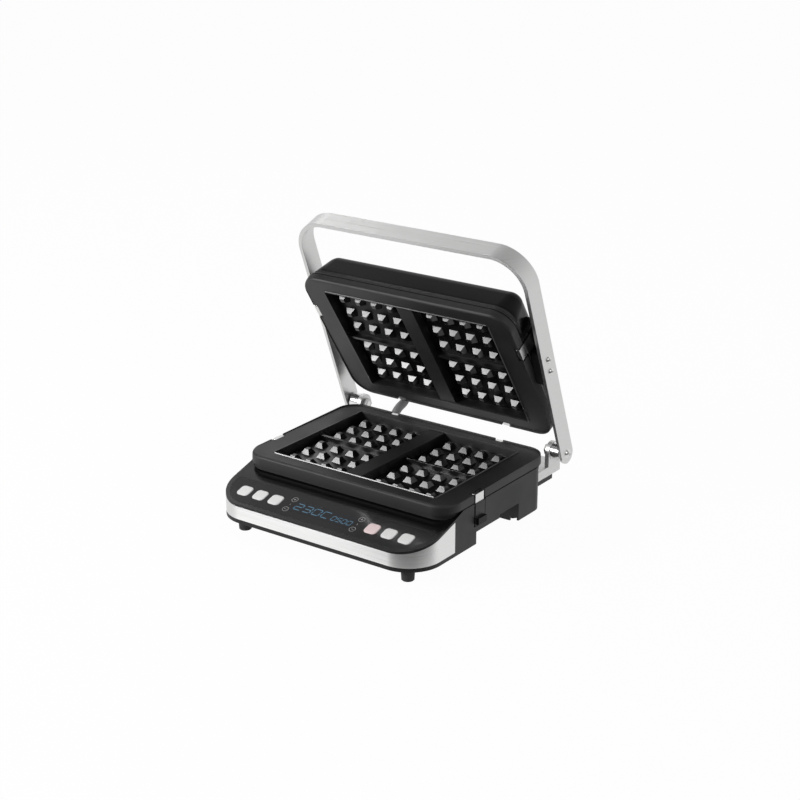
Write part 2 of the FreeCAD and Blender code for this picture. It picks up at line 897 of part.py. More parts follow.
def lid_body(shrink, bottom):
    """The crowned block of the lid, drawn in by shrink on its sides and back."""
    stations = [
        (0, bottom), (0, lid_crease), (lid_shoulder_inset, lid_shoulder),
        (lid_crown_inset, lid_crown), (lid_back_inset, lid_height),
    ]
    wires = []
    for inset, height in stations:
        drop = shrink if height > lid_crease else 0
        wires.append(lid_outline(inset, shrink, height - drop))
    straight = prism(wires[0], lid_crease - bottom)
    return straight.fuse(Part.makeLoft(wires[1:], True, True)).removeSplitter()


def make_upper_housing():
    shell = lid_body(0, lid_edge)
    low = lid_face + lid_edge
    pod_top = lid_face + lid_shoulder
    shell = union(shell, [box(-plate_half, plate_half, pod_front, pod_rear, low, pod_top)])
    hollow = lid_body(lid_wall, lid_edge - 5)
    pod_room = box(-plate_half + lid_wall, plate_half - lid_wall, pod_front + lid_wall, pod_rear - lid_wall,
                   low - 5, pod_top - lid_wall)
    hollow = union(hollow, [pod_room])
    shell = shell.cut(hollow)
    seat = mirror_up(box(0, 1, 0, 1, shelf_bottom, plate_seat)).BoundBox
    ledge = lid_body(lid_wall / 2, lid_edge).common(
        box(-base_width, base_width, -base_depth, 2 * base_depth, seat.ZMin, seat.ZMax))
    well = box(-shelf_half, shelf_half, shelf_front, shelf_rear, seat.ZMin - 1, seat.ZMax + 1)
    shell = union(shell, [ledge.cut(well)])
    for side in (-1, 1):
        mirrored = mirror_x if side < 0 else (lambda shape: shape)
        boss = rod_x(plate_half - pivot_pin_length, plate_half - 1, pivot_y, pivot_z, pivot_pin_radius + 4)
        boss = boss.cut(box(-base_width, base_width, 0, base_depth, 0, seat.ZMin))
        ears = [mirror_up(ear) for ear in trunnion_lugs(shelf_bottom + 1)]
        shell = union(shell, [mirrored(s) for s in [boss] + ears])
        window = mirror_up(latch_window(latch_axis_x - 4, half + 1, pad_bottom - 1, side_wall_top + 1))
        pin_hole = rod_x(plate_half - pivot_pin_length - 1, half + 1, pivot_y, pivot_z, pivot_pin_radius)
        for cut in (window, mirror_up(trunnion_bore()), pin_hole):
            shell = shell.cut(mirrored(cut))
    entry = lid_face + conduit_entry_height
    lead_hole = rod_y(conduit_x, plate_rear - 14, plate_rear, entry, gland_radius - 2)
    gland_seat = rod_y(conduit_x, plate_rear - gland_sink, plate_rear + 1, entry, gland_radius)
    return shell.cut(lead_hole).cut(gland_seat)


def make_handle_bar():
    """Flat bar bent to a U, laid level in front of the hinge before it is raised."""
    tip = hinge_y - handle_reach
    z0 = hinge_z - bar_width / 2
    corner = handle_corner_radius
    outer = rounded_wire([
        (V(-arm_outer, hinge_y, z0), 0), (V(-arm_outer, tip, z0), corner),
        (V(arm_outer, tip, z0), corner), (V(arm_outer, hinge_y, z0), 0),
    ])
    inner = rounded_wire([
        (V(-arm_inner, hinge_y + 1, z0), 0),
        (V(-arm_inner, tip + bar_thickness, z0), corner - bar_thickness),
        (V(arm_inner, tip + bar_thickness, z0), corner - bar_thickness), (V(arm_inner, hinge_y + 1, z0), 0),
    ])
    bar = prism(outer, bar_width).cut(prism(inner, bar_width))
    ends = both_sides(rod_x(arm_inner, arm_outer, hinge_y, hinge_z, bar_width / 2))
    bar = union(bar, ends)
    for hole in both_sides(rod_x(arm_inner - 1, arm_outer + 1, hinge_y, hinge_z, hinge_pin_radius)):
        bar = bar.cut(hole)
    for y in arm_screw_rows():
        for hole in both_sides(rod_x(arm_inner - 1, arm_outer + 1, y, hinge_z, arm_screw_radius)):
            bar = bar.cut(hole)
    return bar


def arm_screw_rows():
    return [hinge_y - pivot_reach + side * arm_screw_spacing / 2 for side in (-1, 1)]


def domed_head(x, y, z, radius, height):
    """Low dome on the outer face of an arm."""
    sphere_radius = (radius * radius + height * height) / (2 * height)
    ball = Part.makeSphere(sphere_radius, V(x + height - sphere_radius, y, z))
    return ball.common(rod_x(x, x + height + 1, y, z, radius + 1))


def make_hinge_pin():
    head = domed_head(arm_outer, hinge_y, hinge_z, pin_head_radius, pin_head_height)
    nut_end = lug_inner - side_clearance - lock_nut_height
    shank = rod_x(nut_end, arm_outer, hinge_y, hinge_z, hinge_pin_radius)
    return head.fuse(shank).removeSplitter()


def make_lock_nut():
    near = lug_inner - side_clearance
    radius = lock_nut_width / math.sqrt(3)
    points = []
    for i in range(7):
        turn = math.radians(60 * i)
        points.append(V(near - lock_nut_height, hinge_y + radius * math.cos(turn),
                        hinge_z + radius * math.sin(turn)))
    nut = Part.Face(Part.makePolygon(points)).extrude(V(lock_nut_height, 0, 0))
    return nut.cut(rod_x(near - base_width, near + 1, hinge_y, hinge_z, hinge_pin_radius))


def make_arm_screw(y):
    head = domed_head(arm_outer, y, hinge_z, arm_screw_head, arm_screw_head_height)
    shank = rod_x(arm_inner - arm_screw_depth, arm_outer, y, hinge_z, arm_screw_radius)
    return head.fuse(shank).removeSplitter()


def make_pivot_block():
    """Block on the inner face of an arm, bored for the pin of the lid."""
    y = hinge_y - pivot_reach
    near = half + side_clearance
    reach = pivot_block_length / 2
    width = pivot_block_width / 2
    wire = rounded_wire([
        (V(near, y + reach * i, hinge_z + width * j), pivot_block_radius)
        for i, j in ((-1, -1), (1, -1), (1, 1), (-1, 1))
    ])
    block = Part.Face(wire).extrude(V(arm_inner - near, 0, 0))
    block = block.cut(rod_x(near - 1, arm_inner + 1, y, hinge_z, pivot_pin_radius + running_clearance))
    for row in arm_screw_rows():
        block = block.cut(rod_x(arm_inner - arm_screw_depth, arm_inner + 1, row, hinge_z, arm_screw_radius))
    return block


def make_pivot_pin():
    inner = plate_half - pivot_pin_length
    return rod_x(inner, arm_inner - side_clearance, pivot_y, pivot_z, pivot_pin_radius)


def make_bracket():
    """Cast foot on the hinge seat with the upright lug of the hinge."""
    slab = box(bracket_inner, lug_outer, base_depth - bracket_ahead, bracket_rear,
               bracket_bottom, bracket_top)
    slab = slab.cut(base_block(-side_clearance, 0, side_wall_top))
    lug = box(lug_inner, lug_outer, hinge_y - lug_radius, hinge_y + lug_radius, bracket_top, hinge_z)
    crown = rod_x(lug_inner, lug_outer, hinge_y, hinge_z, lug_radius)
    bracket = union(slab, [lug, crown])
    bore = rod_x(lug_inner - 1, lug_outer + 1, hinge_y, hinge_z, hinge_pin_radius + running_clearance)
    bracket = bracket.cut(bore)
    for x, y in bracket_screw_places():
        bracket = bracket.cut(rod_z(x, y, bracket_bottom - 1, bracket_top + 1, screw_radius))
    return bracket


def bracket_screw_places():
    y = (base_depth + seat_rear) / 2
    return [(bracket_inner + 10, y), (lug_inner - 10, y)]


def make_bracket_screw(x, y):
    head = rod_z(x, y, bracket_top, bracket_top + screw_head_height, screw_head_radius)
    return head.fuse(rod_z(x, y, bracket_bottom, bracket_top, screw_radius))


def make_barrel():
    barrel = rod_x(lug_outer, arm_inner - side_clearance, hinge_y, hinge_z, barrel_radius)
    bore = rod_x(lug_outer - 1, arm_inner + 1, hinge_y, hinge_z, hinge_pin_radius + running_clearance)
    return barrel.cut(bore)


def make_lower_gland():
    body = rod_z(conduit_x, conduit_exit, bracket_bottom, gland_top, gland_radius)
    return body.cut(rod_z(conduit_x, conduit_exit, bracket_bottom - 1, gland_top + 1, conduit_diameter / 2))


def make_upper_gland():
    entry = lid_face + conduit_entry_height
    near = plate_rear - gland_sink
    flange = rod_y(conduit_x, near, near + 6, entry, gland_radius)
    neck = rod_y(conduit_x, near - 8, near, entry, gland_radius - 2)
    bore = rod_y(conduit_x, near - 9, near + 7, entry, conduit_diameter / 2)
    return flange.fuse(neck).removeSplitter().cut(bore)


def make_conduit():
    """Sleeved lead from the seat behind the base up into the rear of the open lid."""
    entry = lid_face + conduit_entry_height
    inside = V(conduit_x, plate_rear - 8, entry)
    outside = V(conduit_x, plate_rear + conduit_lead, entry)
    ends = [Part.Vertex(p) for p in (outside, inside)]
    top = [open_lid(v).Point for v in ends]
    bottom = V(conduit_x, conduit_exit, bracket_bottom - seat_depth)
    rise = V(conduit_x, conduit_exit, gland_top + conduit_rise)
    points = [bottom, rise, top[0], top[1]]
    path = open_path(points, conduit_bend)
    ring = Part.Wire(Part.makeCircle(conduit_diameter / 2 - 0.05, bottom, V(0, 0, 1)))
    return path.makePipeShell([ring], True, False)


os.makedirs("parts", exist_ok=True)

# The open lid or the brackets reach furthest back, and set the middle of the depth
upper_housing = open_lid(make_upper_housing())
origin_y = max(upper_housing.optimalBoundingBox(False).YMax, bracket_rear) / 2

save("base_housing", [make_base_housing()])
save("bottom_cover", [make_bottom_cover()])
save("cover_screws", [make_cover_screw(x, y) for x, y in cover_screw_places()])
save("rubber_feet", [make_foot(x, y) for x, y in foot_places()])
save("front_band", [band_zone(0)])
save("control_panel", [make_control_panel()])
save("display_window", [make_display_window()])
save("display_module", [make_display_module()])
save("control_board", [make_control_board()])
save("key_switches", [make_switch(x) for x in button_places()])
button_names = ("left_3", "left_2", "left_1", "right_1", "right_2", "right_3")
for label, place in zip(button_names, sorted(button_places())):
    save("button_" + label, [make_button(place)])
save("power_board", [make_power_board()])
save("power_relays", [make_relay(x) for x in (-relay_pitch, 0.0)])
save("terminal_block", [make_terminal_block()])
save("mains_inlet", [make_inlet()])

lower_plate = make_lower_plate()
save("lower_plate", [lower_plate])
save("upper_plate", [open_lid(mirror_up(lower_plate))])
tray = make_tray()
tray_screws = [make_tray_screw(x, y) for x, y in tray_screw_places()]
element = make_element()
element_clips = [make_element_clip(x, y) for x, y in element_clip_places()]
sensor = make_sensor()
for name, solids in (("reflector", [tray]), ("tray_screws", tray_screws), ("element", [element]),
                     ("element_clips", element_clips), ("sensor", [sensor])):
    save("lower_" + name, solids)
    save("upper_" + name, [open_lid(mirror_up(solid)) for solid in solids])
save("thermal_fuse", [make_thermal_fuse()])
hook_places = (-hook_spacing / 2, hook_spacing / 2)
save("lower_hooks", [make_lower_hook(x) for x in hook_places])
save("upper_hooks", [open_lid(make_upper_hook(x)) for x in hook_places])

for name, piece in (("latch_clip", make_clip()), ("release_button", make_pad())):
    save(name + "_lower_right", [piece])
    save(name + "_lower_left", [mirror_x(piece)])
    save(name + "_upper_right", [open_lid(mirror_up(piece))])
    save(name + "_upper_left", [open_lid(mirror_up(mirror_x(piece)))])

save("upper_housing", [upper_housing])
save("lid_pivot_pins", [open_lid(s) for s in both_sides(make_pivot_pin())])
save("handle_bar", [raise_arm(make_handle_bar())])
save("hinge_pins", [raise_arm(s) for s in both_sides(make_hinge_pin())])
save("hinge_nuts", [raise_arm(s) for s in both_sides(make_lock_nut())])
save("arm_screws", [raise_arm(s) for y in arm_screw_rows() for s in both_sides(make_arm_screw(y))])
pivot_block = raise_arm(make_pivot_block())
save("pivot_block_right", [pivot_block])
save("pivot_block_left", [mirror_x(pivot_block)])
bracket = make_bracket()
save("hinge_bracket_right", [bracket])
save("hinge_bracket_left", [mirror_x(bracket)])
save("hinge_barrels", both_sides(make_barrel()))
save("bracket_screws", [s for x, y in bracket_screw_places() for s in both_sides(make_bracket_screw(x, y))])
save("conduit_gland_lower", [make_lower_gland()])
save("conduit_gland_upper", [open_lid(make_upper_gland())])
save("wire_conduit", [make_conduit()])
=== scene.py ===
import json
from math import cos, pi, radians, sin, tan

import bmesh
import bpy
from mathutils import Matrix, Vector


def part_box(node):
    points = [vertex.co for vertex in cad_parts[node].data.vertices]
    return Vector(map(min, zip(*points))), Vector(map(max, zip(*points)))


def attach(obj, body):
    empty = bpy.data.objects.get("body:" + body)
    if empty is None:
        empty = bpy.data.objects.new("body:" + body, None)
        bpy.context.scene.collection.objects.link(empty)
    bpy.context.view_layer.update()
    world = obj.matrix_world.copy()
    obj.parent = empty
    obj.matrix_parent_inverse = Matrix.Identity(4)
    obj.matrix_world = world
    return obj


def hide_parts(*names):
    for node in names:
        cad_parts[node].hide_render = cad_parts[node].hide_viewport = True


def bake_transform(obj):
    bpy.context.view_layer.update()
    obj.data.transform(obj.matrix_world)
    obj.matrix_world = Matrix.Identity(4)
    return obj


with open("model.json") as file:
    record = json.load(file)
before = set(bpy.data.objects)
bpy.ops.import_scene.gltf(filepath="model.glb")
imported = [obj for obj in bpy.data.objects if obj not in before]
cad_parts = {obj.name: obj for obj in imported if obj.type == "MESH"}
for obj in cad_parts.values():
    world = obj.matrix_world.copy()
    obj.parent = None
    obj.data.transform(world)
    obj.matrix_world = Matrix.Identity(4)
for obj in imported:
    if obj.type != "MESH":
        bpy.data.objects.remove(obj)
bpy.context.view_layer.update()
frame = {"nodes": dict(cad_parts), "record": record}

scene = bpy.context.scene
scene.view_settings.view_transform = "Standard"


# Studio: a white floor in a room that is pale behind the object and dim in front, where the floor mirrors
# less too. A soft box stands at the left front, a strip and a panel hang over the left, and a weak lamp
# fills from the right.
def math_node(tree, operation, *inputs, kind="ShaderNodeMath"):
    """A math node with its inputs linked or set; gives its value."""
    node = tree.nodes.new(kind)
    node.operation = operation
    for socket, value in zip(node.inputs, inputs):
        if isinstance(value, bpy.types.NodeSocket):
            tree.links.new(value, socket)
        else:
            socket.default_value = value
    return node.outputs["Value"]


def set_inputs(node, values):
    """Sets named inputs of a node."""
    for socket, value in values.items():
        node.inputs[socket].default_value = value


def smooth_level(tree, coordinates, way, limits):
    """A level that goes smoothly between limits along a direction."""
    along = math_node(tree, "DOT_PRODUCT", coordinates, way, kind="ShaderNodeVectorMath")
    level = tree.nodes.new("ShaderNodeMapRange")
    level.interpolation_type = "SMOOTHSTEP"
    set_inputs(level, dict(zip(("From Min", "From Max", "To Min", "To Max"), limits)))
    tree.links.new(along, level.inputs["Value"])
    return level.outputs["Result"]


def new_finish(name):
    """A material with its tree and its shader."""
    finish = bpy.data.materials.new(name)
    finish.use_nodes = True
    return finish, finish.node_tree, finish.node_tree.nodes["Principled BSDF"]


world = bpy.data.worlds.new("studio_room")
scene.world = world
world.use_nodes = True
room = world.node_tree
ray = room.nodes.new("ShaderNodeLightPath").outputs
way_out = room.nodes.new("ShaderNodeTexCoord").outputs["Generated"]
pale_behind = smooth_level(room, way_out, (0, 1, 0), (0.16, 0.72, 0.26, 0.95))
gloss = math_node(room, "MULTIPLY", ray["Is Glossy Ray"], pale_behind)
seen = math_node(room, "MAXIMUM", ray["Is Camera Ray"], ray["Is Transmission Ray"])
ambient = math_node(room, "MULTIPLY", ray["Is Diffuse Ray"], 0.35)
room_level = math_node(room, "MAXIMUM", math_node(room, "MAXIMUM", seen, gloss), ambient)
room.nodes["Background"].inputs["Color"].default_value = (1, 1, 1, 1)
room.links.new(room_level, room.nodes["Background"].inputs["Strength"])

floor_bm = bmesh.new()
bmesh.ops.create_grid(floor_bm, x_segments=1, y_segments=1, size=9)
floor_mesh = bpy.data.meshes.new("studio_floor")
floor_bm.to_mesh(floor_mesh)
floor_bm.free()
floor = bpy.data.objects.new("studio_floor", floor_mesh)
scene.collection.objects.link(floor)
floor_white, tree, paper = new_finish("studio_white")
floor_mesh.materials.append(floor_white)
set_inputs(paper, {"Base Color": (0.9, 0.9, 0.9, 1), "Roughness": 0.9})
glow = tree.nodes.new("ShaderNodeEmission")
blend = tree.nodes.new("ShaderNodeMixShader")
ray = tree.nodes.new("ShaderNodeLightPath").outputs
spot = tree.nodes.new("ShaderNodeTexCoord").outputs["Object"]
dim_in_front = smooth_level(tree, spot, (0.588, -0.809, 0), (0.19, 0.3, -0.08, -0.88))
mirrored = math_node(tree, "MULTIPLY_ADD", ray["Is Glossy Ray"], dim_in_front, 1.0)
seen = math_node(tree, "MAXIMUM", ray["Is Camera Ray"], ray["Is Transmission Ray"])
share = math_node(tree, "MULTIPLY", math_node(tree, "MAXIMUM", seen, ray["Is Glossy Ray"]), 0.97)
for value, socket in ((mirrored, glow.inputs["Strength"]), (share, blend.inputs["Fac"]),
                      (paper.outputs[0], blend.inputs[1]), (glow.outputs[0], blend.inputs[2]),
                      (blend.outputs[0], tree.nodes["Material Output"].inputs["Surface"])):
    tree.links.new(value, socket)

for lamp_name, place, width, height, power in (
    ("soft_box_left", (-1.32, -1.73, 0.96), 0.75, 0.4, 35),
    ("strip_over_left", (-1.25, 0.42, 2.0), 0.16, 1.6, 4.5),
    ("panel_behind_left", (-1.6, 0.7, 1.55), 0.8, 0.8, 0.9),
    ("fill_right", (1.9, -0.4, 1.1), 1.0, 1.0, 5),
):
    light = bpy.data.lights.new(lamp_name, "AREA")
    light.shape = "RECTANGLE"
    light.size = width
    light.size_y = height
    light.energy = power
    lamp = bpy.data.objects.new(lamp_name, light)
    lamp.location = place
    lamp.rotation_euler = (Vector((0, 0, 0.15)) - Vector(place)).to_track_quat("-Z", "Y").to_euler()
    scene.collection.objects.link(lamp)

camera_data = bpy.data.cameras.new("camera")
camera_data.lens = 80.53
camera_data.sensor_width = 36
camera = bpy.data.objects.new("camera", camera_data)
camera.location = (1.2534, -1.71727, 0.9306)
target = Vector((0, 0.01257, 0.15386))
camera.rotation_euler = (target - camera.location).to_track_quat("-Z", "Y").to_euler()
scene.collection.objects.link(camera)
scene.camera = camera


# Base housing: one black moulding with a matte fine grain, a glossier sloping deck at the front, hand
# grips under both sides and seats for the hinge brackets behind. The deck's black is painted darker, as
# shade under the plate. Its edges are eased as a mould leaves them. A flat cover of the same plastic
# closes it from below.
def new_group(name, inputs):
    """A group that puts out Tone, Roughness and Normal; an input without a value is a vector."""
    group = bpy.data.node_groups.new(name, "ShaderNodeTree")
    for socket, value in inputs.items():
        kind = "NodeSocketVector" if value is None else "NodeSocketFloat"
        made = group.interface.new_socket(socket, in_out="INPUT", socket_type=kind)
        if value is not None:
            made.default_value = value
    for socket, kind in (("Tone", "Float"), ("Roughness", "Float"), ("Normal", "Vector")):
        group.interface.new_socket(socket, in_out="OUTPUT", socket_type="NodeSocket" + kind)
    return group, group.nodes.new, group.links.new


def grain_group():
    """Fine moulded grain with slow smudges."""
    group, make, link = new_group("moulded_grain", {"Grain Size": 0.0005, "Depth": 0.1, "Rough Low": 0.3,
                                                    "Rough High": 0.5})
    given = make("NodeGroupInput").outputs
    result = make("NodeGroupOutput").inputs
    place = make("ShaderNodeTexCoord").outputs["Object"]
    grain = make("ShaderNodeTexNoise")
    grain.inputs["Detail"].default_value = 2.0
    smudge = make("ShaderNodeTexNoise")
    set_inputs(smudge, {"Scale": 22.0, "Detail": 4.0})
    level = make("ShaderNodeMapRange")
    set_inputs(level, {"From Min": 0.45, "From Max": 0.95})
    bump = make("ShaderNodeBump")
    bump.inputs["Distance"].default_value = 0.0002
    link(place, grain.inputs["Vector"])
    link(place, smudge.inputs["Vector"])
    link(math_node(group, "DIVIDE", 1.0, given["Grain Size"]), grain.inputs["Scale"])
    both = math_node(group, "MULTIPLY_ADD", grain.outputs["Fac"], 0.4, smudge.outputs["Fac"])
    link(both, level.inputs["Value"])
    link(given["Rough Low"], level.inputs["To Min"])
    link(given["Rough High"], level.inputs["To Max"])
    link(grain.outputs["Fac"], bump.inputs["Height"])
    link(given["Depth"], bump.inputs["Strength"])
    link(smudge.outputs["Fac"], result["Tone"])
    link(level.outputs[0], result["Roughness"])
    link(bump.outputs[0], result["Normal"])
    return group


moulded_grain = grain_group()


def mix_tones(tree, share, dark, pale, target):
    """Leads a mix of two tones to a colour socket."""
    tone = tree.nodes.new("ShaderNodeMix")
    tone.data_type = "RGBA"
    set_inputs(tone, {"A": (*dark, 1), "B": (*pale, 1)})
    tree.links.new(share, tone.inputs["Factor"])
    tree.links.new(tone.outputs["Result"], target)


def place_effect(tree, group, shader):
    """Puts an effect group in a material and leads its roughness and normal to the shader."""
    effect = tree.nodes.new("ShaderNodeGroup")
    effect.node_tree = group
    for socket in ("Roughness", "Normal"):
        tree.links.new(effect.outputs[socket], shader.inputs[socket])
    return effect


def moulded(name, dark, pale, rough, grain=0.0005, depth=0.1, metallic=0.0, specular=0.5):
    """A moulded, cast or coated finish: two tones that drift, and the fine grain."""
    finish, tree, shader = new_finish(name)
    set_inputs(shader, {"Metallic": metallic, "Specular IOR Level": specular})
    effect = place_effect(tree, moulded_grain, shader)
    set_inputs(effect, {"Grain Size": grain, "Depth": depth, "Rough Low": rough[0], "Rough High": rough[1]})
    mix_tones(tree, effect.outputs["Tone"], dark, pale, shader.inputs["Base Color"])
    return finish


def round_edges(bm, edges, width, steps):
    """Bevels edges to a round."""
    bmesh.ops.bevel(bm, geom=edges, offset=width, segments=steps, profile=0.5, affect="EDGES",
                    clamp_overlap=True, material=-1)


def ease_edges(bm, width, steps=2, angle=25, above=-1.0):
    """Rounds every edge sharper than angle that lies over a height."""
    bm.normal_update()
    sharp = [e for e in bm.edges if e.is_manifold and e.calc_face_angle(0) > radians(angle)
             and max(v.co.z for v in e.verts) > above]
    round_edges(bm, sharp, width, steps)


def add_piece(name, bm, finish, body, nodes_stood_for=(), smooth=40):
    """Turns a finished bmesh into a piece on a body."""
    mesh = bpy.data.meshes.new(name)
    bm.to_mesh(mesh)
    bm.free()
    mesh.materials.append(finish)
    mesh.shade_smooth()
    mesh.set_sharp_from_angle(angle=radians(smooth))
    piece = bpy.data.objects.new(name, mesh)
    scene.collection.objects.link(piece)
    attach(piece, body)
    level = piece.modifiers.new("flat_faces", "WEIGHTED_NORMAL")
    level.keep_sharp = True
    if nodes_stood_for:
        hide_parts(*nodes_stood_for)
    return piece


def eased_copy(node, width, steps, angle=30):
    """A merged copy of a CAD solid with its flat faces whole and its sharp edges eased."""
    bm = bmesh.new()
    bm.from_mesh(frame["nodes"][node].data)
    bmesh.ops.remove_doubles(bm, verts=bm.verts, dist=1e-6)
    bmesh.ops.dissolve_limit(bm, angle_limit=radians(0.6), verts=bm.verts, edges=bm.edges)
    ease_edges(bm, width, steps, angle)
    return bm


base_black = moulded("base_black", (0.007, 0.007, 0.0075), (0.011, 0.011, 0.0115), (0.36, 0.5), depth=0.12,
                     specular=0.36)
housing_bm = eased_copy("base_housing", 0.0006, 2)
housing_bm.normal_update()
# Deck faces get material 1: a glossier finish whose black is painted darker, as shade under the plate's
# skirt.
for f in housing_bm.faces:
    f.material_index = 1 if f.normal.z > 0.9 and -0.4 < f.normal.y < -0.2 else 0
deck_black_painted_shade = moulded("deck_black_painted_shade", (0.004, 0.004, 0.0045), (0.006, 0.006, 0.0065), (0.14, 0.22), depth=0.02,
                     specular=0.24)
housing = add_piece("housing_shell", housing_bm, base_black, "base", ["base_housing"])
housing.data.materials.append(deck_black_painted_shade)
cover_bm = eased_copy("bottom_cover", 0.0003, 1, 40)
add_piece("cover_sheet", cover_bm, base_black, "base", ["bottom_cover"])


# Feet and cover screws: four turned rubber feet are pressed into round seats of the cover, and four
# zinc plated screws hold the cover. The rubber is matte, and each foot stands on a narrow ring.
def turned(profile, place, steps=40):
    """A closed turned shape from (radius, height) pairs, set up by a matrix that takes +Z to its axis."""
    bm = bmesh.new()
    points = [bm.verts.new((radius, 0, height)) for radius, height in profile]
    lines = [bm.edges.new(pair) for pair in zip(points, points[1:])]
    bmesh.ops.spin(bm, geom=points + lines, cent=(0, 0, 0), axis=(0, 0, 1), angle=2 * pi, steps=steps,
                   use_merge=True)
    bmesh.ops.remove_doubles(bm, verts=bm.verts, dist=1e-7)
    bmesh.ops.recalc_face_normals(bm, faces=bm.faces)
    bmesh.ops.transform(bm, matrix=place, verts=bm.verts)
    return bm


def join(parts):
    """Puts several bmeshes into the first one."""
    whole = parts[0]
    for part in parts[1:]:
        carrier = bpy.data.meshes.new("carrier")
        part.to_mesh(carrier)
        part.free()
        whole.from_mesh(carrier)
        bpy.data.meshes.remove(carrier)
    return whole


def finish_nodes(finish, *names):
    """Gives a finish to CAD solids that stay as they are."""
    for name in names:
        for held in frame["nodes"][name].material_slots:
            held.material = finish


foot_profile = ((0, 0.0008), (0.0052, 0.0008), (0.006, 0), (0.0072, 0), (0.008, 0.0008), (0.0085, 0.0098),
                (0.0085, 0.0112), (0.0094, 0.012), (0.0098, 0.0205), (0.0098, 0.0222), (0, 0.0222))
foot_low, foot_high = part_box("rubber_feet")
foot_reach = 0.01
feet = []
for foot_x in (foot_low.x + foot_reach, foot_high.x - foot_reach):
    for foot_y in (foot_low.y + foot_reach, foot_high.y - foot_reach):
        feet.append(turned(foot_profile, Matrix.Translation((foot_x, foot_y, 0))))
foot_rubber = moulded("foot_rubber", (0.012, 0.012, 0.012), (0.03, 0.03, 0.03), (0.62, 0.85), 0.0008, 0.25)
add_piece("foot_set", join(feet), foot_rubber, "base", ["rubber_feet"])
zinc_steel = moulded("zinc_steel", (0.42, 0.43, 0.44), (0.62, 0.62, 0.6), (0.3, 0.5), 0.0004, 0.1,
                     metallic=1.0)
finish_nodes(zinc_steel, "cover_screws", "lower_tray_screws", "upper_tray_screws", "bracket_screws")


# Boards and controls inside: two glass fibre boards with green lacquer, the display body, six key
# switches, two relays and the terminal block. They are clipped or screwed to posts and stay CAD solids.
def lacquered_board():
    """Green lacquer over copper tracks, as a brick pattern."""
    finish, tree, shader = new_finish("circuit_board")
    place = tree.nodes.new("ShaderNodeTexCoord")
    tracks = tree.nodes.new("ShaderNodeTexBrick")
    set_inputs(tracks, {"Scale": 90.0, "Mortar Size": 0.035, "Color1": (0.012, 0.075, 0.03, 1),
                        "Color2": (0.016, 0.1, 0.04, 1), "Mortar": (0.16, 0.22, 0.08, 1)})
    place_effect(tree, moulded_grain, shader)
    tree.links.new(place.outputs["Object"], tracks.inputs["Vector"])
    tree.links.new(tracks.outputs["Color"], shader.inputs["Base Color"])
    return finish


finish_nodes(lacquered_board(), "control_board", "power_board")
component_black = moulded("component_black", (0.018, 0.018, 0.02), (0.04, 0.04, 0.042), (0.4, 0.6))
finish_nodes(component_black, "display_module", "key_switches", "power_relays", "terminal_block")


# Heating in both halves: tubular elements of steel on folded clips, over pressed aluminium trays that
# throw the heat up. A sensor cup and a fuse in a metal sleeve watch over them.
element_steel = moulded("element_steel", (0.1, 0.085, 0.08), (0.22, 0.2, 0.2), (0.35, 0.55), 0.0006, 0.2,
                        metallic=0.9)
tray_aluminium = moulded("tray_aluminium", (0.6, 0.61, 0.62), (0.78, 0.78, 0.79), (0.22, 0.4), 0.001, 0.1,
                         metallic=1.0)
sensor_metal = moulded("sensor_metal", (0.5, 0.48, 0.44), (0.66, 0.64, 0.6), (0.25, 0.42), metallic=1.0)
spring_steel = moulded("spring_steel", (0.62, 0.62, 0.62), (0.8, 0.8, 0.79), (0.2, 0.34), 0.0005, 0.06,
                       metallic=1.0)
for half in ("lower_", "upper_"):
    finish_nodes(element_steel, half + "element")
    finish_nodes(tray_aluminium, half + "reflector")
    finish_nodes(spring_steel, half + "element_clips")
    finish_nodes(sensor_metal, half + "sensor")
finish_nodes(sensor_metal, "thermal_fuse")


# Control panel: a glossy black inlay that lies flush in the deck, with a fine gap round it. Rings with
# plus and minus signs are printed on it beside the display, and six keys stand in its openings.
deck_angle = radians(16.4)
deck = Matrix.Translation((0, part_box("base_housing")[0].y, 0.045)) @ Matrix.Rotation(deck_angle, 4, "X")
panel_gloss = moulded("panel_gloss", (0.003, 0.003, 0.0034), (0.005, 0.005, 0.0054), (0.08, 0.14),
                      0.004, 0.004, specular=0.22)
panel_bm = eased_copy("control_panel", 0.00025, 2)
add_piece("panel_inlay", panel_bm, panel_gloss, "base", ["control_panel"])


def flat_bar(bm, x, y, z=0):
    """A flat face over x and y, each a (low, high) pair; returns its corners."""
    corners = bmesh.ops.create_grid(bm, x_segments=1, y_segments=1, size=1)["verts"]
    for v in corners:
        v.co = (x[v.co.x > 0], y[v.co.y > 0], z)
    return corners


def verts_of(geom):
    """The vertices in a list of mixed mesh parts."""
    return [g for g in geom if isinstance(g, bmesh.types.BMVert)]


def extruded(bm, geom, move):
    """Extrudes faces, moves their far ends and returns those."""
    made = bmesh.ops.extrude_face_region(bm, geom=geom)["geom"]
    bmesh.ops.translate(bm, verts=verts_of(made), vec=move)
    return [g for g in made if isinstance(g, bmesh.types.BMFace)]


def raise_print(bm, height):
    """Gives flat faces a thickness and lays them on the deck."""
    extruded(bm, bm.faces[:], (0, 0, height))
    bmesh.ops.recalc_face_normals(bm, faces=bm.faces)
    bmesh.ops.transform(bm, matrix=deck, verts=bm.verts)


def span(middle, half):
    """The (low, high) pair round a middle."""
    return middle - half, middle + half


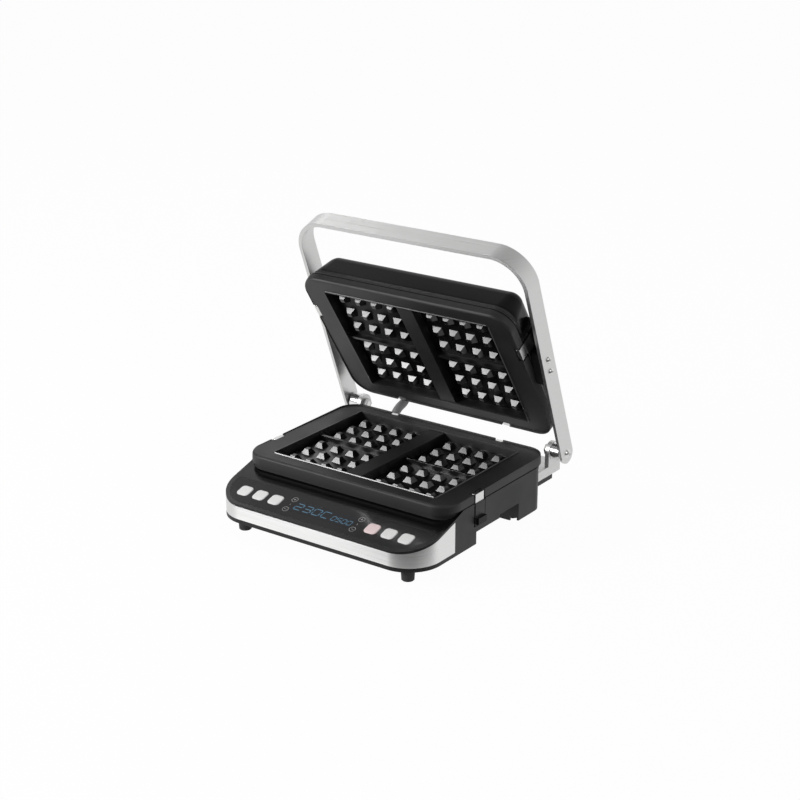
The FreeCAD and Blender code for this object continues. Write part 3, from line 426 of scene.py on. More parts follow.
print_line, sign_half, sign_gap = 0.00017, 0.0019, 0.00022
mark_x, mark_rows, mark_radius = 0.052, (0.0165, 0.0365), 0.0042
marks_bm = bmesh.new()
for side in (-1, 1):
    upright = span(side * mark_x, print_line)
    for row in mark_rows:
        centre = Matrix.Translation((side * mark_x, row, 0))
        ring = bmesh.ops.create_circle(marks_bm, cap_ends=True, segments=36, radius=mark_radius,
                                       matrix=centre)
        disc = ring["verts"][0].link_faces[0]
        bmesh.ops.inset_individual(marks_bm, faces=[disc], thickness=2 * print_line)
        bmesh.ops.delete(marks_bm, geom=[disc], context="FACES_ONLY")
        flat_bar(marks_bm, span(side * mark_x, sign_half), span(row, print_line))
        if row == mark_rows[1]:
            for y in ((sign_gap, sign_half), (-sign_half, -sign_gap)):
                flat_bar(marks_bm, upright, (row + y[0], row + y[1]))
    flat_bar(marks_bm, upright, (0.0252, 0.0278))
raise_print(marks_bm, 0.0001)
print_white = moulded("print_white", (0.5, 0.5, 0.5), (0.62, 0.62, 0.61), (0.4, 0.55), 0.0003, 0.05)
add_piece("panel_print", marks_bm, print_white, "base")


# Display: a dark glass window in the panel with lit digits of seven bars, a large group for the
# heat and a small one for the time. The bars glow a dim blue.
window_glass = moulded("window_glass", (0.004, 0.005, 0.007), (0.007, 0.008, 0.011), (0.06, 0.11),
                       0.006, 0.003, specular=0.2)
finish_nodes(window_glass, "display_window")


def lit_bars():
    """Blue light that is a little uneven from bar to bar."""
    finish, tree, shader = new_finish("lit_blue")
    set_inputs(shader, {"Base Color": (0.004, 0.01, 0.016, 1), "Roughness": 0.2, "Emission Strength": 1.0})
    place = tree.nodes.new("ShaderNodeTexCoord")
    drift = tree.nodes.new("ShaderNodeTexNoise")
    drift.inputs["Scale"].default_value = 260.0
    tree.links.new(place.outputs["Object"], drift.inputs["Vector"])
    mix_tones(tree, drift.outputs["Fac"], (0.03, 0.11, 0.19), (0.09, 0.24, 0.36),
              shader.inputs["Emission Color"])
    return finish


bars_of = {"0": "abcdef", "2": "abged", "3": "abgcd", "5": "afgcd", "C": "afed"}
digits_bm = bmesh.new()
for word, start_x, pitch, wide, high, stroke in (
    ("230C", -0.0435, 0.0141, 0.0103, 0.0112, 0.0009),
    ("0500", 0.0145, 0.0079, 0.0057, 0.0076, 0.00068),
):
    end_gap = stroke * 0.6
    for place_in_word, sign in enumerate(word):
        left = start_x + pitch * place_in_word
        for bar in bars_of[sign]:
            if bar in "agd":
                level = {"a": high, "g": high / 2, "d": 0}[bar]
                x, y = (left + end_gap, left + wide - end_gap), span(level, stroke / 2)
            else:
                middle = left + (wide if bar in "bc" else 0)
                base = high / 2 if bar in "bf" else 0
                x, y = span(middle, stroke / 2), (base + end_gap, base + high / 2 - end_gap)
            corners = flat_bar(digits_bm, x, y)
            bmesh.ops.bevel(digits_bm, geom=corners, offset=stroke * 0.48, segments=1, profile=0.5,
                            affect="VERTICES", material=-1)
digit_lean, digit_row = 0.12, 0.0208
for v in digits_bm.verts:
    v.co.x += digit_lean * v.co.y
bmesh.ops.translate(digits_bm, verts=digits_bm.verts, vec=(0, digit_row, 0))
raise_print(digits_bm, 0.00012)
add_piece("display_digits", digits_bm, lit_bars(), "base")


# Keys: six white caps with rounded corners and a softly eased top, each on a short stem over its
# switch. The innermost cap on the right is tinted red.
def rounded_sheet(bm, x, y, z, front_radius, rear_radius, steps=12):
    """A flat rounded rectangle over x and y, each a (low, high) pair."""
    before = set(bm.faces)
    corners = flat_bar(bm, x, y, z)
    rear = [v for v in corners if abs(v.co.y - y[1]) < 1e-7]
    front = [v for v in corners if v not in rear]
    for group, radius in ((front, front_radius), (rear, rear_radius)):
        if radius:
            bmesh.ops.bevel(bm, geom=group, offset=radius, segments=steps, profile=0.5, affect="VERTICES",
                            material=-1)
    return [f for f in bm.faces if f not in before][0]


def push_face(bm, face, move):
    """Extrudes a face and returns the face at its far end."""
    return extruded(bm, [face, *face.edges], move)[0]


def brick(x, y, z):
    """A box over three (low, high) pairs, as a bmesh."""
    bm = bmesh.new()
    for v in bmesh.ops.create_cube(bm, size=2)["verts"]:
        v.co = (x[v.co.x > 0], y[v.co.y > 0], z[v.co.z > 0])
    return bm


key_row, key_half, key_radius, key_top, key_height = 0.0265, 0.009, 0.005, 0.001, 0.006
stem_half, stem_z = 0.003, (-0.0064, -0.0048)
crown_rise = 0.0009
crown = ((0.00015, 0.0004), (0.0004, 0.0003), (0.0009, 0.00014), (0.003, 0.00006))
key_white = moulded("key_white", (0.74, 0.74, 0.73), (0.86, 0.86, 0.85), (0.3, 0.44), 0.0005, 0.04)
key_red = moulded("key_red", (0.8, 0.62, 0.62), (0.88, 0.73, 0.73), (0.3, 0.44), 0.0005, 0.04)
for side_name, side in (("left", -1), ("right", 1)):
    for number in (1, 2, 3):
        key_x = side * (0.05 + 0.025 * number)
        key_bm = bmesh.new()
        cap = rounded_sheet(key_bm, span(key_x, key_half), span(key_row, key_half), key_top - key_height,
                            key_radius, key_radius, 8)
        cap = push_face(key_bm, cap, (0, 0, key_height - crown_rise))
        for draw_in, lift in crown:
            bmesh.ops.inset_individual(key_bm, faces=[cap], thickness=draw_in, depth=lift)
        bmesh.ops.recalc_face_normals(key_bm, faces=key_bm.faces)
        key_bm = join([key_bm, brick(span(key_x, stem_half), span(key_row, stem_half), stem_z)])
        bmesh.ops.transform(key_bm, matrix=deck, verts=key_bm.verts)
        key_name = side_name + "_" + str(number)
        colour = key_red if key_name == "right_1" else key_white
        add_piece("key_cap_" + key_name, key_bm, colour, "button_" + key_name,
                  ["button_" + key_name], 50)


# Front band: a strip of stainless sheet, 1 mm thick, rolled round the front of the base and both
# corners, with a brushed grain that runs along it. It lies in a shallow recess of the housing.
def brushed_group():
    """Long brushing lines across one direction."""
    group, make, link = new_group("long_brushing", {"Vector": None, "Depth": 0.1})
    given = make("NodeGroupInput").outputs
    result = make("NodeGroupOutput").inputs
    lines = make("ShaderNodeTexNoise")
    set_inputs(lines, {"Scale": 1.0, "Detail": 5.0, "Roughness": 0.65})
    level = make("ShaderNodeMapRange")
    set_inputs(level, {"From Min": 0.3, "From Max": 0.7, "To Min": 0.26, "To Max": 0.42})
    bump = make("ShaderNodeBump")
    bump.inputs["Distance"].default_value = 0.0002
    link(given["Vector"], lines.inputs["Vector"])
    link(given["Depth"], bump.inputs["Strength"])
    for socket in (level.inputs["Value"], bump.inputs["Height"], result["Tone"]):
        link(lines.outputs["Fac"], socket)
    link(level.outputs[0], result["Roughness"])
    link(bump.outputs[0], result["Normal"])
    return group


long_brushing = brushed_group()


def brushed(name, turn, stretch, dark, pale):
    """Brushed stainless steel; turn lines the pattern up and stretch sets lines per metre each way."""
    finish, tree, shader = new_finish(name)
    shader.inputs["Metallic"].default_value = 1.0
    place = tree.nodes.new("ShaderNodeTexCoord")
    mapping = tree.nodes.new("ShaderNodeMapping")
    set_inputs(mapping, {"Rotation": turn, "Scale": stretch})
    effect = place_effect(tree, long_brushing, shader)
    tree.links.new(place.outputs["Object"], mapping.inputs["Vector"])
    tree.links.new(mapping.outputs[0], effect.inputs["Vector"])
    mix_tones(tree, effect.outputs["Tone"], dark, pale, shader.inputs["Base Color"])
    return finish


band_low, band_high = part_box("front_band")
band_front_top, band_corner, band_thick, band_spare = 0.0418, 0.045, 0.001, 0.05
band_bm = bmesh.new()
sheet = rounded_sheet(band_bm, (band_low.x, band_high.x), (band_low.y, band_high.y + band_spare),
                      band_low.z, band_corner, 0, 28)
bmesh.ops.delete(band_bm, geom=[sheet], context="FACES_ONLY")
bmesh.ops.bisect_plane(band_bm, geom=band_bm.verts[:] + band_bm.edges[:], plane_co=band_high,
                       plane_no=(0, 1, 0), clear_outer=True)
raised = bmesh.ops.extrude_edge_only(band_bm, edges=band_bm.edges[:])["geom"]
for v in verts_of(raised):
    v.co.z = band_front_top + (v.co.y - band_low.y) * tan(deck_angle)
bmesh.ops.recalc_face_normals(band_bm, faces=band_bm.faces)
bmesh.ops.solidify(band_bm, geom=band_bm.faces[:], thickness=band_thick)
bmesh.ops.recalc_face_normals(band_bm, faces=band_bm.faces)
ease_edges(band_bm, 0.0002, 2, 40)
band_steel = brushed("band_steel", (0, 0, 0), (5, 5, 1400), (0.7, 0.7, 0.695), (0.86, 0.86, 0.855))
set_inputs(band_steel.node_tree.nodes["Principled BSDF"],
           {"Anisotropic": 0.75, "Anisotropic Rotation": 0.25})
add_piece("front_band_strip", band_bm, band_steel, "base", ["front_band"])


# Lower and upper waffle plates: two alike aluminium castings with a dark non-stick coat, painted darker in
# the wells than on the rim as shade in the hollows. Each has fields of truncated pyramids in a low bead, a
# rim that rolls over into the skirt, and a lip on three sides. Clips at the sides and hooks at the rear hold
# a plate on the shelf of its housing.
def cut_lines(bm, faces, axis, places):
    """Cuts the given faces along planes square to an axis, and returns all faces that came of them."""
    normal = Vector((0, 0, 0))
    normal[axis] = 1
    for value in places:
        faces = [f for f in faces if f.is_valid]
        edges = {e for f in faces for e in f.edges}
        verts = {v for f in faces for v in f.verts}
        known = set(bm.faces) - set(faces)
        bmesh.ops.bisect_plane(bm, geom=list(verts) + list(edges) + faces, plane_co=normal * value,
                               plane_no=normal)
        faces = [f for f in bm.faces if f not in known]
    return faces


def carve(bm, cutters):
    """Takes the cutters away from a closed bmesh."""
    def as_object(source):
        mesh = bpy.data.meshes.new("carving")
        source.to_mesh(mesh)
        held = bpy.data.objects.new("carving", mesh)
        scene.collection.objects.link(held)
        return held
    block = as_object(bm)
    tools = [as_object(c) for c in cutters]
    for tool in tools:
        cut = block.modifiers.new("cut", "BOOLEAN")
        cut.operation = "DIFFERENCE"
        cut.solver = "EXACT"
        cut.object = tool
    result = bpy.data.meshes.new_from_object(block.evaluated_get(bpy.context.evaluated_depsgraph_get()))
    bm.clear()
    bm.from_mesh(result)
    for spent in [block] + tools:
        bpy.data.meshes.remove(spent.data)
    bpy.data.meshes.remove(result)
    for c in cutters:
        c.free()
    bmesh.ops.remove_doubles(bm, verts=bm.verts, dist=1e-6)


def ease_in(value, low, high):
    """Goes smoothly from 0 at low to 1 at high."""
    share = min(max((value - low) / (high - low), 0), 1)
    return share * share * (3 - 2 * share)


def pulled_in(point, x, y):
    """The nearest place to a point inside x and y, each a (low, high) pair, at the same height."""
    return Vector((min(max(point.x, x[0]), x[1]), min(max(point.y, y[0]), y[1]), point.z))


level_error = 1e-5
plate_low, plate_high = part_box("lower_plate")
plate_x, plate_y, plate_corner = plate_high.x, (plate_low.y, plate_high.y), 0.028
rim_z = plate_high.z - 0.0018
step_z = 0.075
rim_rise = 0.008
rim_roll = ((0.0002, 0.0044), (0.0004, 0.0015), (0.0011, 0.0011), (0.0008, 0.0007), (0.0009, 0.0003))
lip_rise, lip_draw, lip_falls, lip_foot = 0.0018, 0.0006, (-0.0021, -0.001), -0.0003
lip_start, lip_full, drop_full, drop_end = (plate_low.y + y for y in (0.006, 0.05, 0.004, 0.018))
skirt_wall, pan_wall, pocket_depth = 0.0029, 0.003, 0.0054
well_x, rim_width = 0.125, 0.0216
well_y = (plate_low.y + rim_width, plate_high.y - rim_width)
plate_mid_y = (well_y[0] + well_y[1]) / 2
divider = 0.012
ridge_foot, ridge_top, ridge_height, ridge_reach = 0.0027, 0.002, 0.007, 0.0014
well_depth, well_draft = 0.0105, 0.002
stud_foot, stud_top, stud_height = 0.007, 0.0031, 0.0066
stud_pitch_x, stud_pitch_y = 0.0252, 0.0279
clip_low, clip_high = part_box("latch_clip_lower_right")
latch_y = (clip_low.y + clip_high.y) / 2
latch_half, notch_floor = 0.012, 0.0834
hook_x, hook_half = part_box("lower_hooks")[1].x - 0.005, 0.006
beyond_x, beyond_z = 0.2, 0.1
bead_wide, bead_high, bead_corner, bead_sink = 0.0021, 0.001, 0.0035, 0.0003
bead_outer_draft, bead_inner_draft = 0.0007, 0.0003


def waffle_plate(front_drop):
    """A whole plate; front_drop is how far its front skirt hangs below the sides."""
    bm = bmesh.new()
    under = rounded_sheet(bm, (-plate_x, plate_x), plate_y, step_z, plate_corner, plate_corner, 10)
    if under.normal.z < 0:
        under.normal_flip()
    top = push_face(bm, under, (0, 0, rim_z - rim_rise - step_z))
    for draw_in, lift in rim_roll:
        bmesh.ops.inset_individual(bm, faces=[top], thickness=draw_in, depth=lift)
    for v in bm.verts:
        behind_front = ease_in(v.co.y, lip_start, lip_full)
        core = pulled_in(v.co, (plate_corner - plate_x, plate_x - plate_corner),
                         (plate_low.y + plate_corner, plate_high.y - plate_corner))
        if any(abs(v.co.z - rim_z - fall) < level_error for fall in lip_falls):
            v.co.z += (rim_z + lip_rise - v.co.z) * behind_front
        elif abs(v.co.z - rim_z - lip_foot) < level_error:
            v.co += (v.co - core).normalized() * lip_draw * behind_front
        elif abs(v.co.z - step_z) < level_error:
            v.co.z -= front_drop * (1 - ease_in(v.co.y, drop_full, drop_end))
    bm.normal_update()
    bottom = min((f for f in bm.faces if len(f.verts) > 8), key=lambda f: f.calc_center_median().z)
    bmesh.ops.inset_individual(bm, faces=[bottom], thickness=skirt_wall)
    for v in bottom.verts:
        v.co.z = step_z
    bottom = push_face(bm, bottom, (0, 0, plate_low.z - step_z))
    bmesh.ops.inset_individual(bm, faces=[bottom], thickness=pan_wall)
    push_face(bm, bottom, (0, 0, pocket_depth))
    fields = cut_lines(bm, [top], 0, (-well_x, -divider, divider, well_x))
    fields = cut_lines(bm, fields, 1, well_y)
    for field in fields:
        c = field.calc_center_median()
        if divider < abs(c.x) < well_x and well_y[0] < c.y < well_y[1]:
            sink_well(bm, field, c.x)
    bmesh.ops.remove_doubles(bm, verts=bm.verts, dist=1e-6)
    bmesh.ops.recalc_face_normals(bm, faces=bm.faces)
    ease_edges(bm, 0.00045, 2, 30, step_z + 0.0001)
    notches = [brick((plate_x - reach, beyond_x), span(latch_y, half), (floor_z, beyond_z))
               for reach, half, floor_z in ((0.0072, latch_half, notch_floor), (0.0022, 0.0117, 0))]
    notches.append(brick(span(hook_x, hook_half), (plate_high.y - 0.005, plate_high.y + 0.01),
                         (notch_floor, beyond_z)))
    carve(bm, notches)
    bmesh.ops.symmetrize(bm, input=bm.verts[:] + bm.edges[:] + bm.faces[:], direction="X", dist=1e-6)
    bmesh.ops.holes_fill(bm, edges=[e for e in bm.edges if e.is_boundary], sides=0)
    bmesh.ops.recalc_face_normals(bm, faces=bm.faces)
    # Faces in the wells take the coat painted darker as shade; the rim and skirt take the lighter, rougher
    # rim coat.
    for f in bm.faces:
        c = f.calc_center_median()
        in_well = divider < abs(c.x) < well_x and well_y[0] < c.y < well_y[1]
        f.material_index = 0 if in_well and plate_low.z + 0.006 < c.z < rim_z - 0.0002 else 1
    return join([bm, bead_ring()])


def step_face(bm, face, draw_in, lift):
    """Draws a level face in and moves it up, so that slopes stand round it."""
    bmesh.ops.inset_individual(bm, faces=[face], thickness=draw_in, use_even_offset=True)
    bmesh.ops.translate(bm, verts=face.verts, vec=(0, 0, lift))


def sink_well(bm, field, mid_x):
    """Sinks one field of the rim to a well with studs in two groups and a low ridge between them."""
    step_face(bm, field, well_draft, -well_depth)
    columns = [mid_x + (i - 1.5) * stud_pitch_x for i in range(4)]
    rows = []
    for end in well_y:
        half_mid = (end + plate_mid_y + (ridge_foot if end > plate_mid_y else -ridge_foot)) / 2
        rows += [half_mid + (j - 1) * stud_pitch_y for j in range(3)]
    ridge_edges = [plate_mid_y - ridge_foot, plate_mid_y + ridge_foot]
    cells = cut_lines(bm, [field], 0, [x + s * stud_foot for x in columns for s in (-1, 1)])
    cells = cut_lines(bm, cells, 1, [y + s * stud_foot for y in rows for s in (-1, 1)] + ridge_edges)
    ridge_cells = []
    for cell in cells:
        m = cell.calc_center_median()
        if min(abs(m.x - x) for x in columns) < 1e-4 and min(abs(m.y - y) for y in rows) < 1e-4:
            step_face(bm, cell, stud_foot - stud_top, stud_height)
        elif abs(m.y - plate_mid_y) < ridge_foot:
            ridge_cells.append(cell)
    ridge_lines = {e for f in ridge_cells for e in f.edges}
    ridge = bmesh.ops.extrude_face_region(bm, geom=ridge_cells + list(ridge_lines))["geom"]
    for v in verts_of(ridge):
        v.co.z += ridge_height
        v.co.y = plate_mid_y + (v.co.y - plate_mid_y) * ridge_top / ridge_foot
        if abs(v.co.x - mid_x) > (well_x - divider) / 2 - well_draft - 1e-4:
            v.co.x += ridge_reach if v.co.x > mid_x else -ridge_reach


def bead_ring():
    """The low bead round all wells of a plate, with a steep outer flank."""
    bm = bmesh.new()
    sheet = rounded_sheet(bm, (-well_x - bead_wide, well_x + bead_wide),
                          (well_y[0] - bead_wide, well_y[1] + bead_wide), rim_z - bead_sink,
                          bead_corner, bead_corner, 6)
    if sheet.normal.z < 0:
        sheet.normal_flip()
    flat = bmesh.ops.inset_individual(bm, faces=[sheet], thickness=bead_wide)["faces"]
    bmesh.ops.delete(bm, geom=[sheet], context="FACES_ONLY")
    top = bmesh.ops.extrude_face_region(bm, geom=flat)["geom"]
    core_x = well_x + bead_wide - bead_corner
    core_y = (well_y[0] - bead_wide + bead_corner, well_y[1] + bead_wide - bead_corner)
    for v in verts_of(top):
        reach = v.co - pulled_in(v.co, (-core_x, core_x), core_y)
        outer = reach.length > bead_corner - 1e-4
        v.co -= reach.normalized() * (bead_outer_draft if outer else -bead_inner_draft)
        v.co.z = rim_z + bead_high
    bmesh.ops.recalc_face_normals(bm, faces=bm.faces)
    return bm


joint_of = {j["name"]: j for j in frame["record"]["behaviour"]["joints"]}
hinge = Vector(joint_of["arm_hinge"]["pos_m"])
open_angle = radians(-56.45)
lid_open = Matrix.Translation(hinge) @ Matrix.Rotation(open_angle, 4, "X") @ Matrix.Translation(-hinge)
plates_meet = Matrix.Translation((0, 0, 0.0874))
flip_up = lid_open @ plates_meet @ Matrix.Scale(-1, 4, (0, 0, 1)) @ plates_meet.inverted()


def placed(bm, matrix):
    """A copy of a bmesh moved by a matrix, with its faces outward."""
    copy = bm.copy()
    bmesh.ops.transform(copy, matrix=matrix, verts=copy.verts)
    bmesh.ops.recalc_face_normals(copy, faces=copy.faces)
    return copy


# The coat in the wells is painted darker than the rim's coat, as shade in the hollows.
non_stick_painted_shade = moulded("non_stick_painted_shade", (0.002, 0.002, 0.002), (0.005, 0.005, 0.005), (0.26, 0.33), 0.0004, 0.06,
                    specular=0.65)
rim_coat = moulded("rim_coat", (0.006, 0.006, 0.006), (0.011, 0.011, 0.011), (0.48, 0.6), 0.0004, 0.14,
                   specular=0.65)
upper_bm = waffle_plate(0)
bmesh.ops.transform(upper_bm, matrix=flip_up, verts=upper_bm.verts)
bmesh.ops.recalc_face_normals(upper_bm, faces=upper_bm.faces)
lower = add_piece("lower_waffle_plate", waffle_plate(0.003), non_stick_painted_shade, "base",
                  ["lower_plate"], 30)
upper = add_piece("upper_waffle_plate", upper_bm, non_stick_painted_shade, "lid", ["upper_plate"], 30)
for plate in (lower, upper):
    plate.data.materials.append(rim_coat)
finish_nodes(spring_steel, "lower_hooks", "upper_hooks")


# Plate latches: on each side a rocker of black plastic turns on two small trunnions. It carries a bright
# spring steel clip that hooks over a notch of the plate, and a knob to press it free.
clip_bm = eased_copy("latch_clip_lower_right", 0.00025, 2)
rocker_bm = eased_copy("release_button_lower_right", 0.0005, 3)
apron_foot = 0.0572
for face in rocker_bm.faces:
    face.material_index = 0 if face.calc_center_median().z > apron_foot else 1
release_black = moulded("release_black", (0.004, 0.004, 0.004), (0.007, 0.007, 0.007), (0.4, 0.55),
                        specular=0.2)
mirror_x = Matrix.Scale(-1, 4, (1, 0, 0))
for corner, place in (("lower_right", Matrix()), ("lower_left", mirror_x), ("upper_right", flip_up),
                      ("upper_left", flip_up @ mirror_x)):
    add_piece("plate_clip_" + corner, placed(clip_bm, place), spring_steel, "latch_" + corner,
              ["latch_clip_" + corner])
    rocker = add_piece("latch_rocker_" + corner, placed(rocker_bm, place), base_black, "latch_" + corner,
                       ["release_button_" + corner])
    rocker.data.materials.append(release_black)
clip_bm.free()
rocker_bm.free()


# Hinge brackets: two castings of zinc with a fine skin, screwed on the seats behind the base. Each has
# an upright lug for the hinge pin. A chromed barrel keeps the arm clear of the lug.
cast_zinc = moulded("cast_zinc", (0.68, 0.68, 0.68), (0.8, 0.8, 0.79), (0.34, 0.5), 0.0008, 0.16,
                    metallic=0.7)
for side_name in ("left", "right"):
    node = "hinge_bracket_" + side_name
    add_piece("hinge_foot_" + side_name, eased_copy(node, 0.0011, 3), cast_zinc, "base",
              [node])
chrome = moulded("chrome", (0.84, 0.84, 0.84), (0.93, 0.93, 0.93), (0.16, 0.26), 0.0006, 0.03, metallic=1.0)
barrel_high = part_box("hinge_barrels")[1].x
barrel_length, barrel_bore, barrel_end, barrel_radius, barrel_ease = 0.0143, 0.0042, 0.0108, 0.0115, 0.0007
barrel_profile = ((barrel_bore, 0), (barrel_end, 0), (barrel_radius, barrel_ease),
                  (barrel_radius, barrel_length - barrel_ease), (barrel_end, barrel_length),
                  (barrel_bore, barrel_length), (barrel_bore, 0))
barrels = []
outward = {side: Matrix.Rotation(side * pi / 2, 4, "Y") for side in (-1, 1)}
for side in (-1, 1):
    place = Matrix.Translation((side * (barrel_high - barrel_length), hinge.y, hinge.z)) @ outward[side]
    barrels.append(turned(barrel_profile, place, 64))
add_piece("hinge_barrel_pair", join(barrels), chrome, "base", ["hinge_barrels"])


# Handle: one flat bar of stainless steel, bent to a U with rounded corners and round lower ends,
# brushed along its length. Its arms turn on the hinge pins.
bar_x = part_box("handle_bar")[1].x
bar_thick, bar_width, bar_reach, bar_corner, bar_spare = 0.0055, 0.0266, 0.3077, 0.048, 0.06
arm_angle = radians(69.093)
bar_bm = bmesh.new()
sheet = rounded_sheet(bar_bm, (-bar_x, bar_x), (-bar_reach, bar_spare), -bar_width / 2, bar_corner, 0, 24)
bmesh.ops.inset_individual(bar_bm, faces=[sheet], thickness=bar_thick)
bmesh.ops.delete(bar_bm, geom=[sheet], context="FACES_ONLY")
bmesh.ops.bisect_plane(bar_bm, geom=bar_bm.verts[:] + bar_bm.edges[:] + bar_bm.faces[:],
                       plane_co=(0, bar_width / 2, 0), plane_no=(0, 1, 0), clear_outer=True)
extruded(bar_bm, bar_bm.faces[:], (0, 0, bar_width))
bmesh.ops.recalc_face_normals(bar_bm, faces=bar_bm.faces)
ends = [e for e in bar_bm.edges if all(abs(v.co.y - bar_width / 2) < 1e-6 for v in e.verts)
        and abs(e.verts[0].co.x - e.verts[1].co.x) > 0.004]
bmesh.ops.bevel(bar_bm, geom=ends, offset=bar_width / 2 - 0.00001, segments=14, profile=0.5, affect="EDGES",
                material=-1)
bmesh.ops.remove_doubles(bar_bm, verts=bar_bm.verts, dist=0.00004)
ease_edges(bar_bm, 0.0005, 2, 40)
arm_up = Matrix.Translation(hinge) @ Matrix.Rotation(-arm_angle, 4, "X")
bmesh.ops.transform(bar_bm, matrix=arm_up, verts=bar_bm.verts)
bmesh.ops.recalc_face_normals(bar_bm, faces=bar_bm.faces)
handle_steel = brushed("handle_steel", (arm_angle, 0, 0), (5, 5, 1400), (0.56, 0.56, 0.555),
                       (0.76, 0.76, 0.755))
add_piece("handle_u_bar", bar_bm, handle_steel, "arms", ["handle_bar"])


# Hinge pins, arm screws and pivots: polished domed heads with a round driver hole sit on the outer face
# of both arms. Black blocks behind the arm screws carry the steel pins that the lid swings on.
def domed_profile(radius, height, hole, shank, depth):
    """Half section of a domed head with a driver hole and a plain shank."""
    ball = (radius * radius + height * height) / (2 * height)
    floor_z = height - 0.0011
    section = [(0, floor_z), (hole * 0.8, floor_z), (hole, height - 0.0002)]
    for share in (0.35, 0.55, 0.75, 0.9, 1.0):
        reach = radius * share
        section.append((reach, height - ball + (ball * ball - reach * reach) ** 0.5))
    return section + [(shank, 0), (shank, -depth), (0, -depth)]


polished_steel = moulded("polished_steel", (0.6, 0.6, 0.6), (0.76, 0.76, 0.75), (0.12, 0.24), 0.0005, 0.03,
                         metallic=1.0)
pin_profile = domed_profile(radius=0.0065, height=0.0036, hole=0.0014, shank=0.004, depth=0.0317)
screw_profile = domed_profile(radius=0.005, height=0.003, hole=0.0012, shank=0.0022, depth=0.0115)
screw_places = (0.134, 0.152)
pins = []
screws = []
for side in (-1, 1):
    pins.append(turned(pin_profile, Matrix.Translation((side * bar_x, hinge.y, hinge.z)) @ outward[side], 48))
    for along in screw_places:
        spot = arm_up @ Vector((side * bar_x, -along, 0))
        screws.append(turned(screw_profile, Matrix.Translation(spot) @ outward[side]))
add_piece("hinge_pin_pair", join(pins), polished_steel, "arms", ["hinge_pins"])
add_piece("arm_screw_set", join(screws), polished_steel, "arms", ["arm_screws"])
finish_nodes(zinc_steel, "hinge_nuts")
finish_nodes(polished_steel, "lid_pivot_pins")
fitting_black = moulded("fitting_black", (0.006, 0.006, 0.006), (0.01, 0.01, 0.01), (0.38, 0.54),
                        specular=0.3)
for side_name in ("left", "right"):
    node = "pivot_block_" + side_name
    add_piece("pivot_carrier_" + side_name, eased_copy(node, 0.0006, 3), fitting_black, "arms",
              [node])


# Lid shell: a black moulding with a straight edge, a hollow sweep and a crowned back, in a smoother finish
# than the base. Pods on both sides hold the latches and the pivots of the lid.
lid_edge, lid_face, lid_crease = 0.01045, 0.0894, 0.0125
sweep_in, sweep_up, sweep_degrees = 0.0046, 0.0152, (15, 30, 45, 60, 76)
back_start, back_steps = 0.046, ((0.0114, 0.048), (0.0152, 0.0545), (0.0218, 0.058))
pod_deep, pod_front, pod_rear, pod_top = 0.02, 0.020, 0.060, 0.047
window_deep, window_top = 0.0085, 0.0424
lid_bm = bmesh.new()
face = rounded_sheet(lid_bm, (-plate_x, plate_x), plate_y, lid_face + lid_edge, plate_corner,
                     plate_corner, 14)
face = push_face(lid_bm, face, (0, 0, lid_crease - lid_edge))
sweep = [(sweep_in * sin(t), lid_crease + sweep_up * (1 - cos(t))) for t in map(radians, sweep_degrees)]
last_inset, last_height = 0.0, lid_crease
for inset, height in (*sweep, *back_steps):
    step_face(lid_bm, face, inset - last_inset, height - last_height)
    last_inset, last_height = inset, height
bmesh.ops.recalc_face_normals(lid_bm, faces=lid_bm.faces)
lid_bm.normal_update()
rounded = [e for e in lid_bm.edges
           if min(v.co.z for v in e.verts) > lid_face + back_start and e.calc_face_angle(0) > 0.1]
round_edges(lid_bm, rounded, 0.003, 4)
crease = [e for e in lid_bm.edges
          if all(abs(v.co.z - lid_face - lid_crease) < level_error for v in e.verts)]
round_edges(lid_bm, crease, 0.001, 3)
lid_parts = [lid_bm]
windows = []
for side in (-1, 1):
    pod = brick(sorted((side * (plate_x - pod_deep), side * plate_x)),
                (latch_y - pod_front, latch_y + pod_rear), (lid_face + lid_crease, lid_face + pod_top))
    ease_edges(pod, 0.003, 4)
    opening = (sorted((side * (plate_x - window_deep), side * beyond_x)), span(latch_y, latch_half),
               (0, lid_face + window_top))
    carve(pod, [brick(*opening)])
    windows.append(brick(*opening))
    lid_parts.append(pod)
carve(lid_bm, windows)
join(lid_parts)
bmesh.ops.transform(lid_bm, matrix=lid_open, verts=lid_bm.verts)
bmesh.ops.recalc_face_normals(lid_bm, faces=lid_bm.faces)
lid_black = moulded("lid_black", (0.004, 0.004, 0.0044), (0.006, 0.006, 0.0064), (0.2, 0.27), 0.0006, 0.03,
                    specular=0.07)
add_piece("lid_shell", lid_bm, lid_black, "lid", ["upper_housing"], 35)


# Conduit: a braided sleeve over the leads, held in a gland behind the base and another in the rear of
# the lid. It is cut into two pieces halfway along its middle run.
def braid():
    """Two crossing sets of strands along and round the sleeve."""
    finish, tree, shader = new_finish("braided_sleeve")
    shader.inputs["Metallic"].default_value = 0.3
    place = tree.nodes.new("ShaderNodeUVMap")
    place.uv_map = "UVMap"
    parts = tree.nodes.new("ShaderNodeSeparateXYZ")
    tree.links.new(place.outputs["UV"], parts.inputs[0])
    turns_along, turns_round = 58.0, 14.0
    heights = []
    for hand in (-1, 1):
        along = math_node(tree, "MULTIPLY", parts.outputs["X"], turns_along)
        around = math_node(tree, "MULTIPLY_ADD", parts.outputs["Y"], hand * turns_round, along)
        heights.append(math_node(tree, "PINGPONG", around, 0.5))
    strand = math_node(tree, "MAXIMUM", *heights)
    rough = tree.nodes.new("ShaderNodeMapRange")
    set_inputs(rough, {"To Min": 0.7, "To Max": 0.35})
    bump = tree.nodes.new("ShaderNodeBump")
    set_inputs(bump, {"Distance": 0.0006, "Strength": 0.7})
    tree.links.new(strand, rough.inputs["Value"])
    tree.links.new(strand, bump.inputs["Height"])
    mix_tones(tree, strand, (0.13, 0.13, 0.132), (0.62, 0.62, 0.62), shader.inputs["Base Color"])
    tree.links.new(rough.outputs[0], shader.inputs["Roughness"])
    tree.links.new(bump.outputs[0], shader.inputs["Normal"])
    return finish


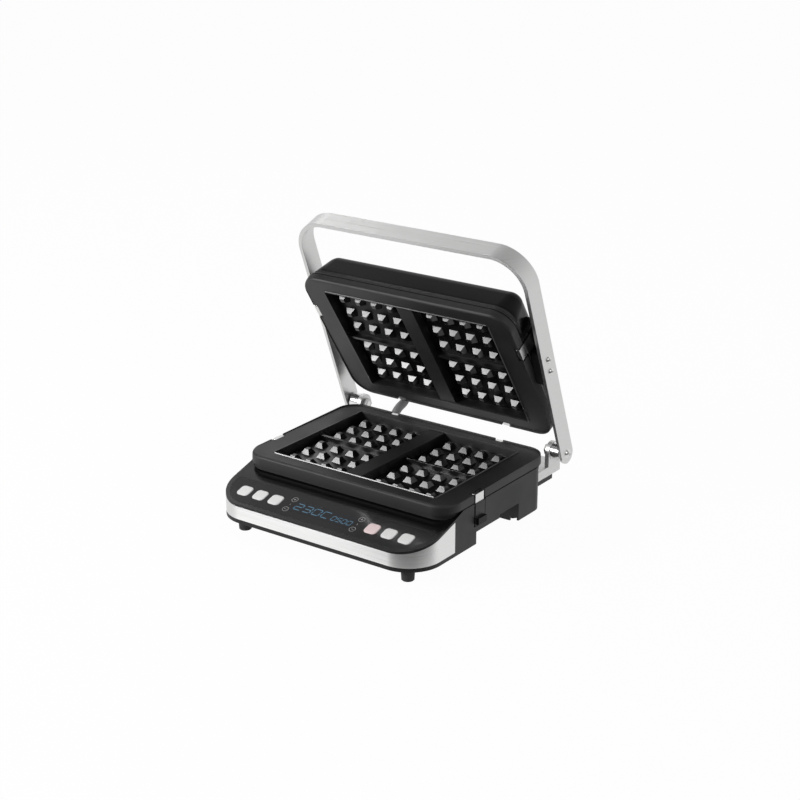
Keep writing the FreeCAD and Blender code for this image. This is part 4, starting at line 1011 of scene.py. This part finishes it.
conduit_x = (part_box("wire_conduit")[0].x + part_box("wire_conduit")[1].x) / 2
front_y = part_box("base_housing")[0].y
route = [Vector((conduit_x, front_y + y, z)) for y, z in
         ((0.300, 0.0435), (0.300, 0.078), (0.3491, 0.0912), (0.327, 0.1246))]
lead = bpy.data.curves.new("conduit_route", "CURVE")
lead.dimensions = "3D"
lead.bevel_depth = 0.0059
lead.bevel_resolution = 6
lead.resolution_u = 24
lead.use_fill_caps = True
spline = lead.splines.new("NURBS")
spline.points.add(len(route) - 1)
for point, spot in zip(spline.points, route):
    point.co = (*spot, 1)
spline.order_u = 3
spline.use_endpoint_u = True
lead_object = bpy.data.objects.new("conduit_route", lead)
scene.collection.objects.link(lead_object)
lead_mesh = bpy.data.meshes.new_from_object(lead_object.evaluated_get(bpy.context.evaluated_depsgraph_get()))
bpy.data.objects.remove(lead_object)
split = (route[1] + route[2]) / 2
split_way = (route[2] - route[1]).normalized()
sleeve = braid()
lower_start, lower_end = route[0] + Vector((0, 0, 0.014)), split - split_way * 0.004
upper_start, upper_end = split + split_way * 0.005, route[3] + (route[2] - route[3]).normalized() * 0.008
for part_name, keep_low, bodies, begin, finish_at in (
    ("conduit_sleeve_lower", True, ("base", "arms"), lower_start, lower_end),
    ("conduit_sleeve_upper", False, ("arms", "lid"), upper_start, upper_end),
):
    sleeve_bm = bmesh.new()
    sleeve_bm.from_mesh(lead_mesh)
    bmesh.ops.remove_doubles(sleeve_bm, verts=sleeve_bm.verts, dist=1e-6)
    bmesh.ops.bisect_plane(sleeve_bm, geom=sleeve_bm.verts[:] + sleeve_bm.edges[:] + sleeve_bm.faces[:],
                           plane_co=split, plane_no=split_way, clear_outer=keep_low, clear_inner=not keep_low)
    bmesh.ops.holes_fill(sleeve_bm, edges=[e for e in sleeve_bm.edges if e.is_boundary], sides=0)
    bmesh.ops.recalc_face_normals(sleeve_bm, faces=sleeve_bm.faces)
    sleeve_mesh = bpy.data.meshes.new(part_name)
    sleeve_bm.to_mesh(sleeve_mesh)
    sleeve_bm.free()
    sleeve_mesh.materials.append(sleeve)
    sleeve_mesh.shade_smooth()
    sleeve_piece = bpy.data.objects.new(part_name, sleeve_mesh)
    scene.collection.objects.link(sleeve_piece)
    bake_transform(sleeve_piece)
    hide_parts("wire_conduit")


# Glands and lead bushing: short collars of black plastic where the conduit enters the base and the lid,
# and a bushing with a flange in the rear wall for a mains lead.
for node, body in (("conduit_gland_lower", "base"), ("conduit_gland_upper", "lid"), ("mains_inlet", "base")):
    add_piece(node + "_collar", eased_copy(node, 0.0006, 3), fitting_black, body, [node])
